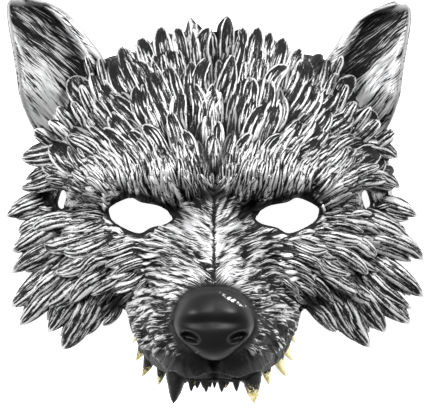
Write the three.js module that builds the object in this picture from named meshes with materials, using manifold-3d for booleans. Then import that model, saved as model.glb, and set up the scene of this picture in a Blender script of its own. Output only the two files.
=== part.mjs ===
// A half mask of a wolf's face, moulded in foam: a hollow shell from the crown down to the upper lip, with
// cupped ears, a nose pad, a row of upper teeth, eye holes and a strap slot in each cheek.
// It lies on the table on its cheeks, face up: x runs across the face, y up the face towards the ears,
// z out of the face. Millimetres, with z = 0 on the table.
import * as THREE from "three";
import { mergeVertices } from "three/addons/utils/BufferGeometryUtils.js";
import Module from "manifold-3d";

const wasm = await Module();
wasm.setup();

// Face shell
const HALF_WIDTH = 104; // centre line to where a cheek meets the table
const HALF_HEIGHT = 112; // dome's half length along the face
const DOME_CENTRE_Y = 8;
const DOME_HEIGHT = 58;
const DOME_POWER = 2.6;
const WALL = 3;
const FIT_GAP = 0.3; // between pieces that touch
const BLEND = 4; // softness of the crease between muzzle and face

// Muzzle
const STOP_Y = 2; // where the bridge of the muzzle starts, between the eyes
const MUZZLE_LENGTH = 101;
const MUZZLE_RISE = 104;
const MUZZLE_HALF_WIDTH = 50;
const MUZZLE_ROOT_LEVEL = 22;
const MUZZLE_POWER = 2.8;

// Eye holes and strap slots
const EYE_X = 42.5;
const EYE_Y = -6.5;
const EYE_WIDTH = 38;
const EYE_HEIGHT = 21;
const SLOT_PLACE = { x: 0.875, y: 0.027 }; // shares of the face
const SLOT_WIDTH = 7;
const SLOT_LENGTH = 12;
const SLOT_TURN = 18; // degrees

// Ears
const EAR_UP = 0.34; // share of the face
const EAR_Z = 19;
const EAR_LENGTH = 83;
const EAR_HALF_WIDTH = 30;
const EAR_ROOT_Z = 6; // lowest place of the root
const EAR_ROOT_SHARE = 0.36; // share of the length that rises out of the face
const EAR_TIP_LIFT = 12; // how far the tip stands proud of the root
const EAR_CUP = 10;
const EAR_WALL = 3.4;

// Nose pad
const NOSE_ALONG = 0.675; // share of the muzzle's length
const NOSE_WIDTH = 45;
const NOSE_LENGTH = 41;
const NOSE_DEPTH = 34;
const NOSE_STAND = 12; // how far the pad stands out of the muzzle
const NOSTRIL_PLACE = { x: 0.55, y: -0.53 }; // shares of the pad's half width and half length
const NOSTRIL_WIDTH = 9;
const NOSTRIL_HEIGHT = 5;
const NOSTRIL_DEPTH = 4;
const NOSTRIL_TURN = 26; // degrees
const NOSE_SQUARENESS = 0.85; // 1 is round

// Fur locks
const CROWN_SHIFT = -2.5; // the crown's row sits to one side
const LOCK_HALF_WIDTH = 8;
const LOCK_THICKNESS = 5;
const LOCK_ROOT_DEPTH = 4;

// Gum and teeth
const GUM_RADIUS = 4;
const GUM_INSET = 5.5; // from the lip's outer skin
const GUM_RAISE = 2.2; // from the lip's cut edge
const TOOTH_LENGTH = 17; // a fang, from the gum's middle
const TOOTH_RADIUS = 3.6;

const FACE_COLOUR = 0x77797c;
const EAR_COLOUR = 0x6c6e71;
const NOSE_COLOUR = 0x17171a;
const TOOTH_COLOUR = 0xd8cf9c;

const table = (columns, rows) =>
  rows.map((row) => Object.fromEntries(columns.map((name, i) => [name, row[i]])));

// Each length is a share of the muzzle's length, rise or half width.
const MUZZLE_STATIONS = table(["along", "crest", "width"], [
  [-0.2, 0.46, 0.36],
  [0, 0.55, 0.44],
  [0.15, 0.605, 0.6],
  [0.3, 0.72, 0.78],
  [0.45, 0.865, 0.92],
  [0.6, 0.94, 1],
  [0.75, 0.955, 1.02],
  [0.9, 0.92, 1],
  [1, 0.855, 0.96],
  [1.1, 0.71, 0.9],
]);

// Raised and sunken forms on both halves: places and radii as shares of the face, rises as shares of the dome.
const FACE_FORMS = table(["x", "y", "radiusX", "radiusY", "rise", "turn"], [
  [0.33, 0.16, 0.34, 0.085, 0.17, -6], // brow
  [0.64, 0.12, 0.14, 0.11, 0.12, 0], // temple
  [0.41, -0.06, 0.2, 0.1, -0.24, 0], // eye socket
  [0.19, -0.02, 0.07, 0.07, -0.15, 0], // inner corner of the eye
  [0.55, -0.26, 0.24, 0.11, 0.09, -20], // cheekbone
  [0, 0.4, 0.06, 0.3, -0.05, 0], // groove down the forehead
  [0.2, -0.77, 0.14, 0.085, 0.08, 0], // upper lip's lobe
  [0, -0.78, 0.03, 0.1, -0.07, 0], // groove under the nose
]);

// The shell's outline from the crown to the corner of the mouth, as shares of the face.
const FACE_EDGE = table(["x", "y"], [
  [0, 0.893],
  [0.25, 0.875],
  [0.44, 0.804],
  [0.62, 0.77],
  [0.8, 0.655],
  [0.93, 0.46],
  [1.03, 0.071],
  [1.04, -0.268],
  [0.96, -0.554],
  [0.83, -0.67],
  [0.67, -0.625],
  [0.56, -0.554],
]);

// The lip from the corner of the mouth to its middle, as shares of the muzzle.
const LIP_EDGE = table(["x", "along"], [
  [1.03, 0.633],
  [0.97, 0.735],
  [0.91, 0.827],
  [0.78, 0.908],
  [0.56, 0.969],
  [0.28, 1],
  [0, 0.99],
]);

// Shares of the eye hole's own width and height, from its middle.
const EYE_OUTLINE = table(["x", "y"], [
  [-0.487, -0.024],
  [-0.303, 0.262],
  [-0.013, 0.381],
  [0.171, 0.5],
  [0.487, 0.2],
  [0.408, -0.181],
  [0.045, -0.49],
  [-0.171, -0.333],
  [-0.408, -0.214],
]);

// The ears differ a little: x is a share of the face, width and length of the ear's own size.
const EARS = table(["label", "side", "x", "width", "length"], [
  ["right", 1, 0.838, 0.9, 0.955],
  ["left", -1, 0.865, 1, 1],
]);

// Shares of the ear's length and half width; inner is the side towards the crown.
const EAR_STATIONS = table(["along", "outer", "inner"], [
  [0, 0.45, -0.9],
  [0.14, 0.66, -0.98],
  [0.3, 0.79, -1],
  [0.47, 0.85, -0.96],
  [0.6, 0.9, -0.78],
  [0.71, 0.95, -0.55],
  [0.82, 1, -0.34],
  [0.91, 1.02, -0.06],
  [0.965, 1, 0.28],
  [1, 0.92, 0.66],
]);

// The ear's cupped section, from its outer edge to the flap on its inner edge, as shares of the cup's depth.
const EAR_SECTION = table(["across", "rise"], [
  [-1, 0.55],
  [-0.8, 0.3],
  [-0.35, -0.45],
  [0.1, -0.95],
  [0.4, -1],
  [0.56, -0.15],
  [0.78, 0.2],
  [1, -0.25],
]);

// Locks round the rim. Places are shares of the face, tip heights and widths shares of the dome and the lock.
const RIM_LOCKS = table(["tipX", "tipY", "tipZ", "rootX", "rootY", "width", "bend"], [
  [1.085, 0.255, 0.16, 0.8, 0.3, 1.05, 0.1],
  [1.095, 0.08, 0.12, 0.82, 0.12, 0.95, 0.12],
  [1.178, -0.06, 0.1, 0.86, 0.07, 0.75, 0.08],
  [1.155, -0.235, 0.1, 0.84, -0.08, 0.95, 0.06],
  [1.19, -0.34, 0.08, 0.86, -0.2, 0.9, 0.02],
  [1.19, -0.53, 0.08, 0.87, -0.32, 0.95, -0.04],
  [1.125, -0.645, 0.1, 0.84, -0.4, 1, -0.06],
  [0.97, -0.675, 0.14, 0.78, -0.43, 0.85, -0.08],
  [0.885, -0.765, 0.2, 0.7, -0.46, 1.15, -0.08],
]);

const CROWN_LOCKS = table(["tipX", "tipY", "tipZ", "rootX", "rootY", "width", "bend"], [
  [0.11, 0.975, 0.5, 0.08, 0.72, 1, -0.06],
  [0.28, 0.94, 0.48, 0.22, 0.68, 1, -0.06],
  [0.415, 0.885, 0.45, 0.34, 0.62, 0.9, -0.06],
  [0.51, 0.83, 0.42, 0.43, 0.56, 0.85, -0.04],
]);

// Locks that lie on the face, row over row.
const FIELD_LOCKS = table(["tipX", "tipY", "rootX", "rootY", "width", "bend"], [
  [0.08, 0.78, 0.06, 0.52, 0.95, 0],
  [0.25, 0.74, 0.2, 0.48, 0.95, -0.05],
  [0.42, 0.66, 0.34, 0.42, 0.95, -0.05],
  [0.58, 0.56, 0.48, 0.34, 0.95, -0.05],
  [0.67, 0.4, 0.57, 0.2, 0.85, -0.05],
  [0.16, 0.53, 0.11, 0.28, 0.9, 0],
  [0.34, 0.48, 0.27, 0.25, 0.9, -0.05],
  [0.52, 0.41, 0.43, 0.2, 0.9, -0.05],
  [0.07, 0.34, 0.03, 0.14, 0.75, 0],
  [0.96, -0.02, 0.7, 0.03, 0.8, 0.1],
  [0.97, -0.19, 0.72, -0.06, 0.8, 0.08],
  [0.98, -0.33, 0.72, -0.16, 0.85, 0.02],
  [0.93, -0.45, 0.68, -0.24, 0.85, -0.04],
  [0.76, -0.5, 0.58, -0.27, 0.85, -0.06],
]);

// A lock's outline and thickness from root to tip, as shares of its width and thickness.
const LOCK_STATIONS = table(["along", "width", "thick"], [
  [0, 0.62, 0.5],
  [0.3, 0.95, 0.9],
  [0.6, 1, 1],
  [0.85, 0.66, 0.75],
  [1, 0.16, 0.3],
]);

// Teeth on one side, from the corner of the mouth forwards: the place is a share of the lip from its corner,
// size a share of the fang and lean the outward slope of the tip.
const TEETH = table(["name", "along", "size", "radius", "lean"], [
  ["tooth_back", 0.17, 0.6, 0.66, 0.5],
  ["tooth_middle", 0.29, 0.72, 0.8, 0.45],
  ["tooth_front", 0.43, 0.88, 0.9, 0.34],
  ["tooth_side", 0.61, 0.8, 0.72, 0.16],
  ["fang", 0.765, 1.2, 1.3, 0.08],
  ["incisor_outer", 0.87, 0.72, 0.62, 0.03],
  ["incisor_inner", 0.955, 0.72, 0.62, 0],
]);

const EAR_STEPS = 9;
const GRID_COLUMNS = 26;
const GRID_ROWS = 24;
const MARGIN = 12; // of the surface past the outline
const TALL = 200; // taller than the mask, for cutting

const clamp = (value, low, high) => Math.min(high, Math.max(low, value));
const softMax = (a, b) => Math.max(a, b) + BLEND * Math.log(1 + Math.exp(-Math.abs(a - b) / BLEND));

// A smooth curve through a table's rows, read at one value of its first column.
function readTable(rows, key, column, at) {
  const last = rows.length - 1;
  const place = clamp(at, rows[0][key], rows[last][key]);
  let i = 0;
  while (i < last - 1 && place > rows[i + 1][key]) i += 1;
  const slope = (k) => {
    const [a, b] = [rows[Math.max(k - 1, 0)], rows[Math.min(k + 1, last)]];
    return (b[column] - a[column]) / (b[key] - a[key]);
  };
  const span = rows[i + 1][key] - rows[i][key];
  const t = (place - rows[i][key]) / span;
  const [t2, t3] = [t * t, t * t * t];
  return (
    (2 * t3 - 3 * t2 + 1) * rows[i][column] +
    (t3 - 2 * t2 + t) * span * slope(i) +
    (3 * t2 - 2 * t3) * rows[i + 1][column] +
    (t3 - t2) * span * slope(i + 1)
  );
}

const muzzleY = (along) => STOP_Y - along * MUZZLE_LENGTH;

// Height of the muzzle's own surface, which falls away past its sides.
function muzzleHeight(x, y) {
  const along = (STOP_Y - y) / MUZZLE_LENGTH;
  const crest = MUZZLE_RISE * readTable(MUZZLE_STATIONS, "along", "crest", along);
  const width = MUZZLE_HALF_WIDTH * readTable(MUZZLE_STATIONS, "along", "width", along);
  return crest - (crest - MUZZLE_ROOT_LEVEL) * Math.abs(x / width) ** MUZZLE_POWER;
}

function domeHeight(x, y) {
  const across = Math.abs(x / HALF_WIDTH) ** DOME_POWER;
  const up = Math.abs((y - DOME_CENTRE_Y) / HALF_HEIGHT) ** DOME_POWER;
  return DOME_HEIGHT * (1 - across - up);
}

function formsHeight(x, y) {
  return FACE_FORMS.reduce((sum, form) => {
    const turn = THREE.MathUtils.degToRad(form.turn);
    const dx = Math.abs(x) - form.x * HALF_WIDTH;
    const dy = y - form.y * HALF_HEIGHT;
    const u = (dx * Math.cos(turn) + dy * Math.sin(turn)) / (form.radiusX * HALF_WIDTH);
    const v = (dy * Math.cos(turn) - dx * Math.sin(turn)) / (form.radiusY * HALF_HEIGHT);
    return sum + form.rise * DOME_HEIGHT * Math.exp(-(u * u + v * v));
  }, 0);
}

// Height of the face's outer skin above the table.
function skinHeight(x, y) {
  const lowest = -MARGIN;
  return Math.max(softMax(domeHeight(x, y), muzzleHeight(x, y)) + formsHeight(x, y), lowest);
}

function skinNormal(x, y) {
  const step = 0.5;
  const dx = (skinHeight(x + step, y) - skinHeight(x - step, y)) / (2 * step);
  const dy = (skinHeight(x, y + step) - skinHeight(x, y - step)) / (2 * step);
  return new THREE.Vector3(-dx, -dy, 1).normalize();
}

const skinPoint = (x, y, offset = 0) =>
  new THREE.Vector3(x, y, skinHeight(x, y)).addScaledVector(skinNormal(x, y), offset);

function solidOf(geometry) {
  const bare = geometry.clone();
  bare.deleteAttribute("normal");
  bare.deleteAttribute("uv");
  const merged = mergeVertices(bare, 1e-4);
  return new wasm.Manifold(
    new wasm.Mesh({
      numProp: 3,
      vertProperties: merged.attributes.position.array,
      triVerts: new Uint32Array(merged.index.array),
    }),
  );
}

function geometryOf(solid) {
  const mesh = solid.getMesh();
  const corners = new Float32Array(mesh.numVert * 3);
  for (let i = 0; i < mesh.numVert; i += 1) {
    corners.set(mesh.vertProperties.subarray(i * mesh.numProp, i * mesh.numProp + 3), i * 3);
  }
  const geometry = new THREE.BufferGeometry();
  geometry.setAttribute("position", new THREE.BufferAttribute(corners, 3));
  geometry.setIndex(new THREE.BufferAttribute(mesh.triVerts, 1));
  const flat = geometry.toNonIndexed();
  flat.computeVertexNormals();
  return flat;
}

const joined = (solids) => solids.reduce((whole, solid) => whole.add(solid));

function solidFrom(points, triangles) {
  const geometry = new THREE.BufferGeometry().setFromPoints(points);
  geometry.setIndex(triangles);
  return solidOf(geometry);
}

// A closed body between two sheets of points that share rows and columns.
function slab(upper, lower) {
  const rows = upper.length;
  const columns = upper[0].length;
  const points = [...upper.flat(), ...lower.flat()];
  const top = (i, j) => i * columns + j;
  const under = (i, j) => rows * columns + i * columns + j;
  const triangles = [];
  const quad = (a, b, c, d) => triangles.push(a, b, c, a, c, d);
  for (let i = 0; i < rows - 1; i += 1) {
    for (let j = 0; j < columns - 1; j += 1) {
      quad(top(i, j), top(i, j + 1), top(i + 1, j + 1), top(i + 1, j));
      quad(under(i, j), under(i + 1, j), under(i + 1, j + 1), under(i, j + 1));
    }
  }
  for (let j = 0; j < columns - 1; j += 1) {
    quad(under(0, j), under(0, j + 1), top(0, j + 1), top(0, j));
    quad(top(rows - 1, j), top(rows - 1, j + 1), under(rows - 1, j + 1), under(rows - 1, j));
  }
  for (let i = 0; i < rows - 1; i += 1) {
    quad(top(i, 0), top(i + 1, 0), under(i + 1, 0), under(i, 0));
    quad(under(i, columns - 1), under(i + 1, columns - 1), top(i + 1, columns - 1), top(i, columns - 1));
  }
  return solidFrom(points, triangles);
}

// A closed body through rings of points, each ring turning right-handed about the way to the next.
function skinned(rings) {
  const count = rings[0].length;
  const triangles = [];
  for (let k = 0; k < rings.length - 1; k += 1) {
    for (let i = 0; i < count; i += 1) {
      const next = (i + 1) % count;
      const [a, b] = [k * count, (k + 1) * count];
      triangles.push(a + i, a + next, b + next, a + i, b + next, b + i);
    }
  }
  const end = (rings.length - 1) * count;
  for (let i = 1; i < count - 1; i += 1) {
    triangles.push(0, i + 1, i, end, end + i, end + i + 1);
  }
  return solidFrom(rings.flat(), triangles);
}

// An upright prism on an outline in the plane of the table.
function prism(outline, low, high) {
  const shape = new THREE.Shape(outline);
  const body = new THREE.ExtrudeGeometry(shape, { depth: high - low, bevelEnabled: false });
  body.translate(0, 0, low);
  return solidOf(body);
}

const lipPoint = (row, side) => new THREE.Vector2(side * row.x * MUZZLE_HALF_WIDTH, muzzleY(row.along));

function faceOutline() {
  const right = [
    ...FACE_EDGE.map((row) => new THREE.Vector2(row.x * HALF_WIDTH, row.y * HALF_HEIGHT)),
    ...LIP_EDGE.map((row) => lipPoint(row, 1)),
  ];
  const left = right.slice(1, -1).map((point) => new THREE.Vector2(-point.x, point.y));
  return [...right, ...left.reverse()].reverse();
}

function skinSheet(place) {
  const reachX = HALF_WIDTH + MARGIN;
  const bottom = muzzleY(1) - MARGIN;
  const top = FACE_EDGE[0].y * HALF_HEIGHT + MARGIN;
  return Array.from({ length: GRID_ROWS + 1 }, (_, i) =>
    Array.from({ length: GRID_COLUMNS + 1 }, (_, j) => {
      const x = -reachX + (2 * reachX * j) / GRID_COLUMNS;
      const y = bottom + ((top - bottom) * i) / GRID_ROWS;
      return place(x, y);
    }),
  );
}

const bareShell = () =>
  slab(
    skinSheet((x, y) => skinPoint(x, y)),
    skinSheet((x, y) => skinPoint(x, y, -WALL)),
  ).intersect(prism(faceOutline(), 0, TALL));

// Everything under the skin, moved out by an offset, for cutting what sits on it or hangs into the hollow.
const underSkin = (offset) =>
  slab(
    skinSheet((x, y) => skinPoint(x, y, offset)),
    skinSheet((x, y) => new THREE.Vector3(x, y, -TALL)),
  );

function eyePrism(side) {
  const outline = EYE_OUTLINE.map(
    (row) => new THREE.Vector2(side * (EYE_X + row.x * EYE_WIDTH), EYE_Y + row.y * EYE_HEIGHT),
  );
  return prism(outline, -MARGIN, TALL);
}

function slotPrism(side) {
  const straight = (SLOT_LENGTH - SLOT_WIDTH) / 2;
  const shape = new THREE.Shape();
  shape.absarc(0, straight, SLOT_WIDTH / 2, 0, Math.PI);
  shape.absarc(0, -straight, SLOT_WIDTH / 2, Math.PI, 2 * Math.PI);
  const turn = THREE.MathUtils.degToRad(side * SLOT_TURN);
  const centre = new THREE.Vector2(0, 0);
  const place = new THREE.Vector2(side * SLOT_PLACE.x * HALF_WIDTH, SLOT_PLACE.y * HALF_HEIGHT);
  const outline = shape.getPoints(5).map((point) => point.rotateAround(centre, turn).add(place));
  return prism(outline, -MARGIN, TALL);
}

// A flat-bellied lock from root to tip, which rides on the skin and then runs out past it to tipZ.
function lock(side, row, tipZ, shift = 0) {
  const root = new THREE.Vector2(side * row.rootX * HALF_WIDTH + shift, row.rootY * HALF_HEIGHT);
  const tip = new THREE.Vector2(side * row.tipX * HALF_WIDTH + shift, row.tipY * HALF_HEIGHT);
  const way = tip.clone().sub(root);
  const across = new THREE.Vector2(-way.y, way.x);
  const rootZ = skinHeight(root.x, root.y);
  const spine = (along) => {
    const sway = side * row.bend * 4 * along * (1 - along);
    const spot = root.clone().addScaledVector(way, along).addScaledVector(across, sway);
    const line = rootZ + (tipZ - rootZ) * along;
    const z = tipZ === null ? skinHeight(spot.x, spot.y) : Math.max(skinHeight(spot.x, spot.y), line);
    return new THREE.Vector3(spot.x, spot.y, z);
  };
  const rings = LOCK_STATIONS.map((station) => {
    const step = 0.02;
    const here = spine(station.along);
    const forward = spine(station.along + step).sub(spine(station.along - step)).normalize();
    const sideways = new THREE.Vector3(0, 0, 1).cross(forward).normalize();
    const up = forward.clone().cross(sideways);
    const w = station.width * row.width * LOCK_HALF_WIDTH;
    const t = station.thick * LOCK_THICKNESS;
    const section = [
      [-w, -LOCK_ROOT_DEPTH],
      [w, -LOCK_ROOT_DEPTH],
      [0.6 * w, t],
      [-0.6 * w, t],
    ];
    return section
      .map(([s, u]) => here.clone().addScaledVector(sideways, s).addScaledVector(up, u));
  });
  return skinned(rings);
}

const lockSolids = () =>
  [1, -1].flatMap((side) => [
    ...RIM_LOCKS.map((row) => lock(side, row, row.tipZ * DOME_HEIGHT)),
    ...CROWN_LOCKS.map((row) => lock(side, row, row.tipZ * DOME_HEIGHT, CROWN_SHIFT)),
    ...FIELD_LOCKS.map((row) => lock(side, row, null)),
  ]);

// The gum's middle line along the lip, from the right corner of the mouth to the left.
function gumPath() {
  const place = (row, side) => {
    const edge = lipPoint(row, side);
    const inward = skinNormal(edge.x, edge.y + GUM_RAISE).multiplyScalar(-GUM_INSET);
    const y = edge.y + GUM_RAISE;
    return new THREE.Vector3(edge.x, y, skinHeight(edge.x, y)).add(inward);
  };
  const right = LIP_EDGE.map((row) => place(row, 1));
  const left = LIP_EDGE.slice(0, -1).map((row) => place(row, -1));
  return new THREE.CatmullRomCurve3([...right, ...left.reverse()]);
}

function gum(path) {
  const section = new THREE.Shape().absarc(0, 0, GUM_RADIUS, 0, 2 * Math.PI);
  const outline = new THREE.Shape(section.getPoints(6).slice(0, -1));
  return solidOf(new THREE.ExtrudeGeometry(outline, { steps: 16, extrudePath: path, bevelEnabled: false }));
}

// A curved conical tooth whose root is buried in the gum; grow widens it all round for its socket.
function tooth(path, side, row, grow) {
  const half = row.along / 2;
  const root = path.getPointAt(side > 0 ? half : 1 - half);
  const length = row.size * TOOTH_LENGTH;
  const sides = 6;
  const stations = table(["along", "radius"], [
    [0, 0.85],
    [0.35, 1],
    [0.7, 0.62],
    [1, 0.14],
  ]);
  const rings = stations.map(({ along, radius }) => {
    const reach = along * length + (along > 0 ? grow : -grow);
    const lean = side * row.lean * reach * along;
    const centre = root.clone().add(new THREE.Vector3(lean, -reach, -row.lean * reach * 0.4));
    const r = radius * row.radius * TOOTH_RADIUS + grow;
    return Array.from({ length: sides }, (_, k) => {
      const angle = (-2 * Math.PI * k) / sides;
      return centre.clone().add(new THREE.Vector3(r * Math.sin(angle), 0, r * Math.cos(angle)));
    });
  });
  return skinned(rings);
}

// The nose pad's section at a height up its length, from -1 to 1: it is drawn in towards the lip.
function noseSection(up) {
  const round = Math.sqrt(1 - up * up) ** 0.75;
  const below = clamp(-up, 0, 1);
  return {
    halfWidth: (NOSE_WIDTH / 2) * round * (1 - 0.34 * below ** 1.5),
    halfDepth: (NOSE_DEPTH / 2) * round * (1 - 0.12 * below),
  };
}

const noseY = () => muzzleY(NOSE_ALONG);
const noseMiddleZ = () => skinHeight(0, noseY()) + NOSE_STAND - NOSE_DEPTH / 2;

function noseBlock() {
  const around = 18;
  const down = 9;
  const rings = Array.from({ length: down + 1 }, (_, k) => {
    const up = Math.cos(Math.PI * clamp(k / down, 0.03, 0.97));
    const { halfWidth, halfDepth } = noseSection(up);
    return Array.from({ length: around }, (_, i) => {
      const angle = (2 * Math.PI * i) / around;
      const x = halfWidth * Math.sign(Math.cos(angle)) * Math.abs(Math.cos(angle)) ** NOSE_SQUARENESS;
      const z = halfDepth * Math.sign(Math.sin(angle)) * Math.abs(Math.sin(angle)) ** NOSE_SQUARENESS;
      return new THREE.Vector3(x, noseY() + (up * NOSE_LENGTH) / 2, noseMiddleZ() + z);
    });
  });
  return skinned(rings);
}

// A blind pit that starts on the pad's front.
function nostril(side) {
  const { halfWidth, halfDepth } = noseSection(NOSTRIL_PLACE.y);
  const x = (NOSTRIL_PLACE.x * NOSE_WIDTH) / 2;
  const front = Math.sin(Math.acos((x / halfWidth) ** (1 / NOSE_SQUARENESS))) ** NOSE_SQUARENESS;
  const pit = new THREE.SphereGeometry(1, 9, 7);
  pit.scale(NOSTRIL_WIDTH / 2, NOSTRIL_HEIGHT / 2, NOSTRIL_DEPTH);
  pit.rotateZ(THREE.MathUtils.degToRad(-side * NOSTRIL_TURN));
  const y = noseY() + (NOSTRIL_PLACE.y * NOSE_LENGTH) / 2;
  pit.translate(side * x, y, noseMiddleZ() + halfDepth * front);
  return solidOf(pit);
}

// One cupped ear; grow widens it all round for its seat in the fur.
function ear(row, grow) {
  const halfWidth = EAR_HALF_WIDTH * row.width;
  const sheet = (depth) =>
    EAR_STATIONS.map(({ along, outer, inner }) => {
      const middle = (outer + inner) / 2;
      const half = (outer - inner) / 2;
      const cupDepth = EAR_CUP * Math.min(1, 1.4 * half);
      return Array.from({ length: EAR_STEPS + 1 }, (_, j) => {
        const column = row.side > 0 ? EAR_STEPS - j : j;
        const across = -1 + (2 * column) / EAR_STEPS;
        const x = row.x * HALF_WIDTH + halfWidth * middle - across * (halfWidth * half + grow);
        const reach = along * row.length * EAR_LENGTH + (along > 0 ? grow : -grow);
        const y = EAR_UP * HALF_HEIGHT + reach;
        const cup = cupDepth * readTable(EAR_SECTION, "across", "rise", across);
        const free = EAR_Z + EAR_TIP_LIFT * along + cup;
        const seated = Math.max(skinHeight(x, y), EAR_ROOT_Z);
        const z = seated + (free - seated) * THREE.MathUtils.smoothstep(along, 0, EAR_ROOT_SHARE);
        return new THREE.Vector3(row.side * x, y, z - depth);
      });
    });
  return slab(sheet(-grow), sheet(EAR_WALL + grow));
}

const finish = (colour, roughness) => new THREE.MeshStandardMaterial({ color: colour, roughness, metalness: 0 });

function piece(name, solid, material) {
  const mesh = new THREE.Mesh(geometryOf(solid), material);
  mesh.name = name;
  return mesh;
}

const path = gumPath();
const under = underSkin(FIT_GAP);
const toothRows = [1, -1].flatMap((side) => TEETH.map((row) => ({ side, row })));
const cutters = [
  eyePrism(1),
  eyePrism(-1),
  slotPrism(1),
  slotPrism(-1),
  ...toothRows.map(({ side, row }) => tooth(path, side, row, FIT_GAP)),
];
const tableTop = prism(
  [[-TALL, -TALL], [TALL, -TALL], [TALL, TALL], [-TALL, TALL]].map(([x, y]) => new THREE.Vector2(x, y)),
  0,
  TALL,
);
const earSeats = joined(EARS.map((row) => ear(row, FIT_GAP)));
const fur = joined(lockSolids()).subtract(underSkin(-WALL / 2)).subtract(earSeats);
const face = joined([bareShell(), fur, gum(path)])
  .intersect(tableTop)
  .subtract(joined(cutters));
const nose = noseBlock().subtract(under).subtract(joined([nostril(1), nostril(-1)]));

const mask = new THREE.Group();
mask.add(piece("face_shell", face, finish(FACE_COLOUR, 0.55)));
for (const row of EARS) {
  mask.add(piece("ear_" + row.label, ear(row, 0).subtract(under), finish(EAR_COLOUR, 0.55)));
}
mask.add(piece("nose_pad", nose, finish(NOSE_COLOUR, 0.2)));
for (const { side, row } of toothRows) {
  const label = side > 0 ? "right" : "left";
  mask.add(piece(row.name + "_" + label, tooth(path, side, row, 0), finish(TOOTH_COLOUR, 0.35)));
}

// The frame's origin is the middle of the mask's box, on the table.
const box = new THREE.Box3().setFromObject(mask);
mask.position.y = -(box.min.y + box.max.y) / 2;
mask.updateMatrixWorld(true);

export default mask;
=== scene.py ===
"""Looks for a wolf half mask: silver brushed over black fur, cupped ears, a glossy nose and ivory teeth.

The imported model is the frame. Lengths below are in millimetres in the part source's own axes, where y = 0
is the line through the eyes; the frame's y is FRAME_Y further on. Every surface is made here as mesh, and
each of its points carries how much silver it takes, its shade and where it lies on the hair.
"""
import math

import bpy
import numpy as np
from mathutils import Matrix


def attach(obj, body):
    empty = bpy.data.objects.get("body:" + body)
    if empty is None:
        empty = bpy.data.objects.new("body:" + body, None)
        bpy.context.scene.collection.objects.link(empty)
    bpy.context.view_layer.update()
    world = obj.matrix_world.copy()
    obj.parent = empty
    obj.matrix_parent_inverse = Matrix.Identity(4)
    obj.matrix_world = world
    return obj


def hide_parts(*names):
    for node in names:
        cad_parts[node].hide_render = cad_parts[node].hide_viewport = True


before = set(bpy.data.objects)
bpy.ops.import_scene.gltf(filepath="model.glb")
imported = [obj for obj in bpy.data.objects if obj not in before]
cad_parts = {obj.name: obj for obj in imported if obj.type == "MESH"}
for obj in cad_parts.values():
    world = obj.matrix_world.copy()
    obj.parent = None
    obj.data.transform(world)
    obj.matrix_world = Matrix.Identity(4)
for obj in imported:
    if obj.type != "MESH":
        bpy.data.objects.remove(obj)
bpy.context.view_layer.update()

MM = 0.001
FRAME_Y = -4.46

# Random numbers for the shapes, and others for the tints of single locks
RNG = np.random.default_rng(5)
TINTS = np.random.default_rng(11)

# The face as the part's source has it
HALF_WIDTH, HALF_HEIGHT = 104.0, 112.0
DOME_CENTRE_Y, DOME_HEIGHT, DOME_POWER = 8.0, 58.0, 2.6
WALL, BLEND, LOWEST = 3.0, 4.0, -12.0
STOP_Y, MUZZLE_LENGTH, MUZZLE_RISE, MUZZLE_HALF_WIDTH = 2.0, 101.0, 104.0, 50.0
MUZZLE_ROOT_LEVEL, MUZZLE_POWER, MUZZLE_SKIRT, FOLD_WIDTH = 22.0, 2.8, 2.6, 4.8
EYE_X, EYE_Y, EYE_WIDTH, EYE_HEIGHT = 42.5, -6.5, 38.0, 21.0
SLOT_X, SLOT_Y, SLOT_WIDTH, SLOT_LENGTH, SLOT_TURN = 91.0, 3.0, 7.0, 12.0, 18.0

# Half width and top of the grids over the whole face and over the muzzle, and where the muzzle's sheet,
# which lies over the face's, starts to sink into it
FACE_REACH, FACE_TOP, SHEET_REACH, SHEET_TOP, SHEET_X, SHEET_Y = 112, 106, 74, 20, 62, 15
LIPS_LOW, LIPS_CORNER = -88, 42

# How far along the muzzle, its crest and its width, all as shares
MUZZLE_STATIONS = np.array([
    (-0.2, 0.46, 0.36), (0, 0.55, 0.44), (0.15, 0.605, 0.6), (0.3, 0.72, 0.78), (0.45, 0.865, 0.92),
    (0.6, 0.94, 1), (0.75, 0.955, 1.02), (0.9, 0.92, 1), (1, 0.855, 0.96), (1.1, 0.71, 0.9),
])

# x, y, radius x and radius y as shares of the face, rise as a share of the dome, turn in degrees
FACE_FORMS = np.array([
    (0.33, 0.16, 0.34, 0.085, 0.17, -6),
    (0.64, 0.12, 0.14, 0.11, 0.12, 0),
    (0.41, -0.06, 0.2, 0.1, -0.24, 0),
    (0.19, -0.02, 0.07, 0.07, -0.15, 0),
    (0.55, -0.26, 0.24, 0.11, 0.09, -20),
    (0, 0.4, 0.06, 0.3, -0.05, 0),
    (0.2, -0.77, 0.14, 0.085, 0.08, 0),
    (0, -0.78, 0.03, 0.1, -0.07, 0),
])

# Right half of the face's outline, as shares of its half width and half height
FACE_EDGE = np.array([
    (0, 0.893), (0.25, 0.875), (0.44, 0.804), (0.62, 0.77), (0.8, 0.655), (0.93, 0.46), (1.03, 0.071),
    (1.04, -0.268), (0.96, -0.554), (0.83, -0.67), (0.67, -0.625), (0.56, -0.554),
]) * (HALF_WIDTH, HALF_HEIGHT)

# Upper lip: x as a share of the muzzle's half width, how far along the muzzle
LIP_EDGE = np.array([
    (1.03, 0.633), (0.97, 0.735), (0.91, 0.827), (0.78, 0.908), (0.56, 0.969), (0.28, 1), (0, 0.99),
])

# Right eye hole, as shares of its width and height
EYE_OUTLINE = np.array([
    (-0.487, -0.024), (-0.303, 0.262), (-0.013, 0.381), (0.171, 0.5), (0.487, 0.2), (0.408, -0.181),
    (0.045, -0.49), (-0.171, -0.333), (-0.408, -0.214),
])

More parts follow.
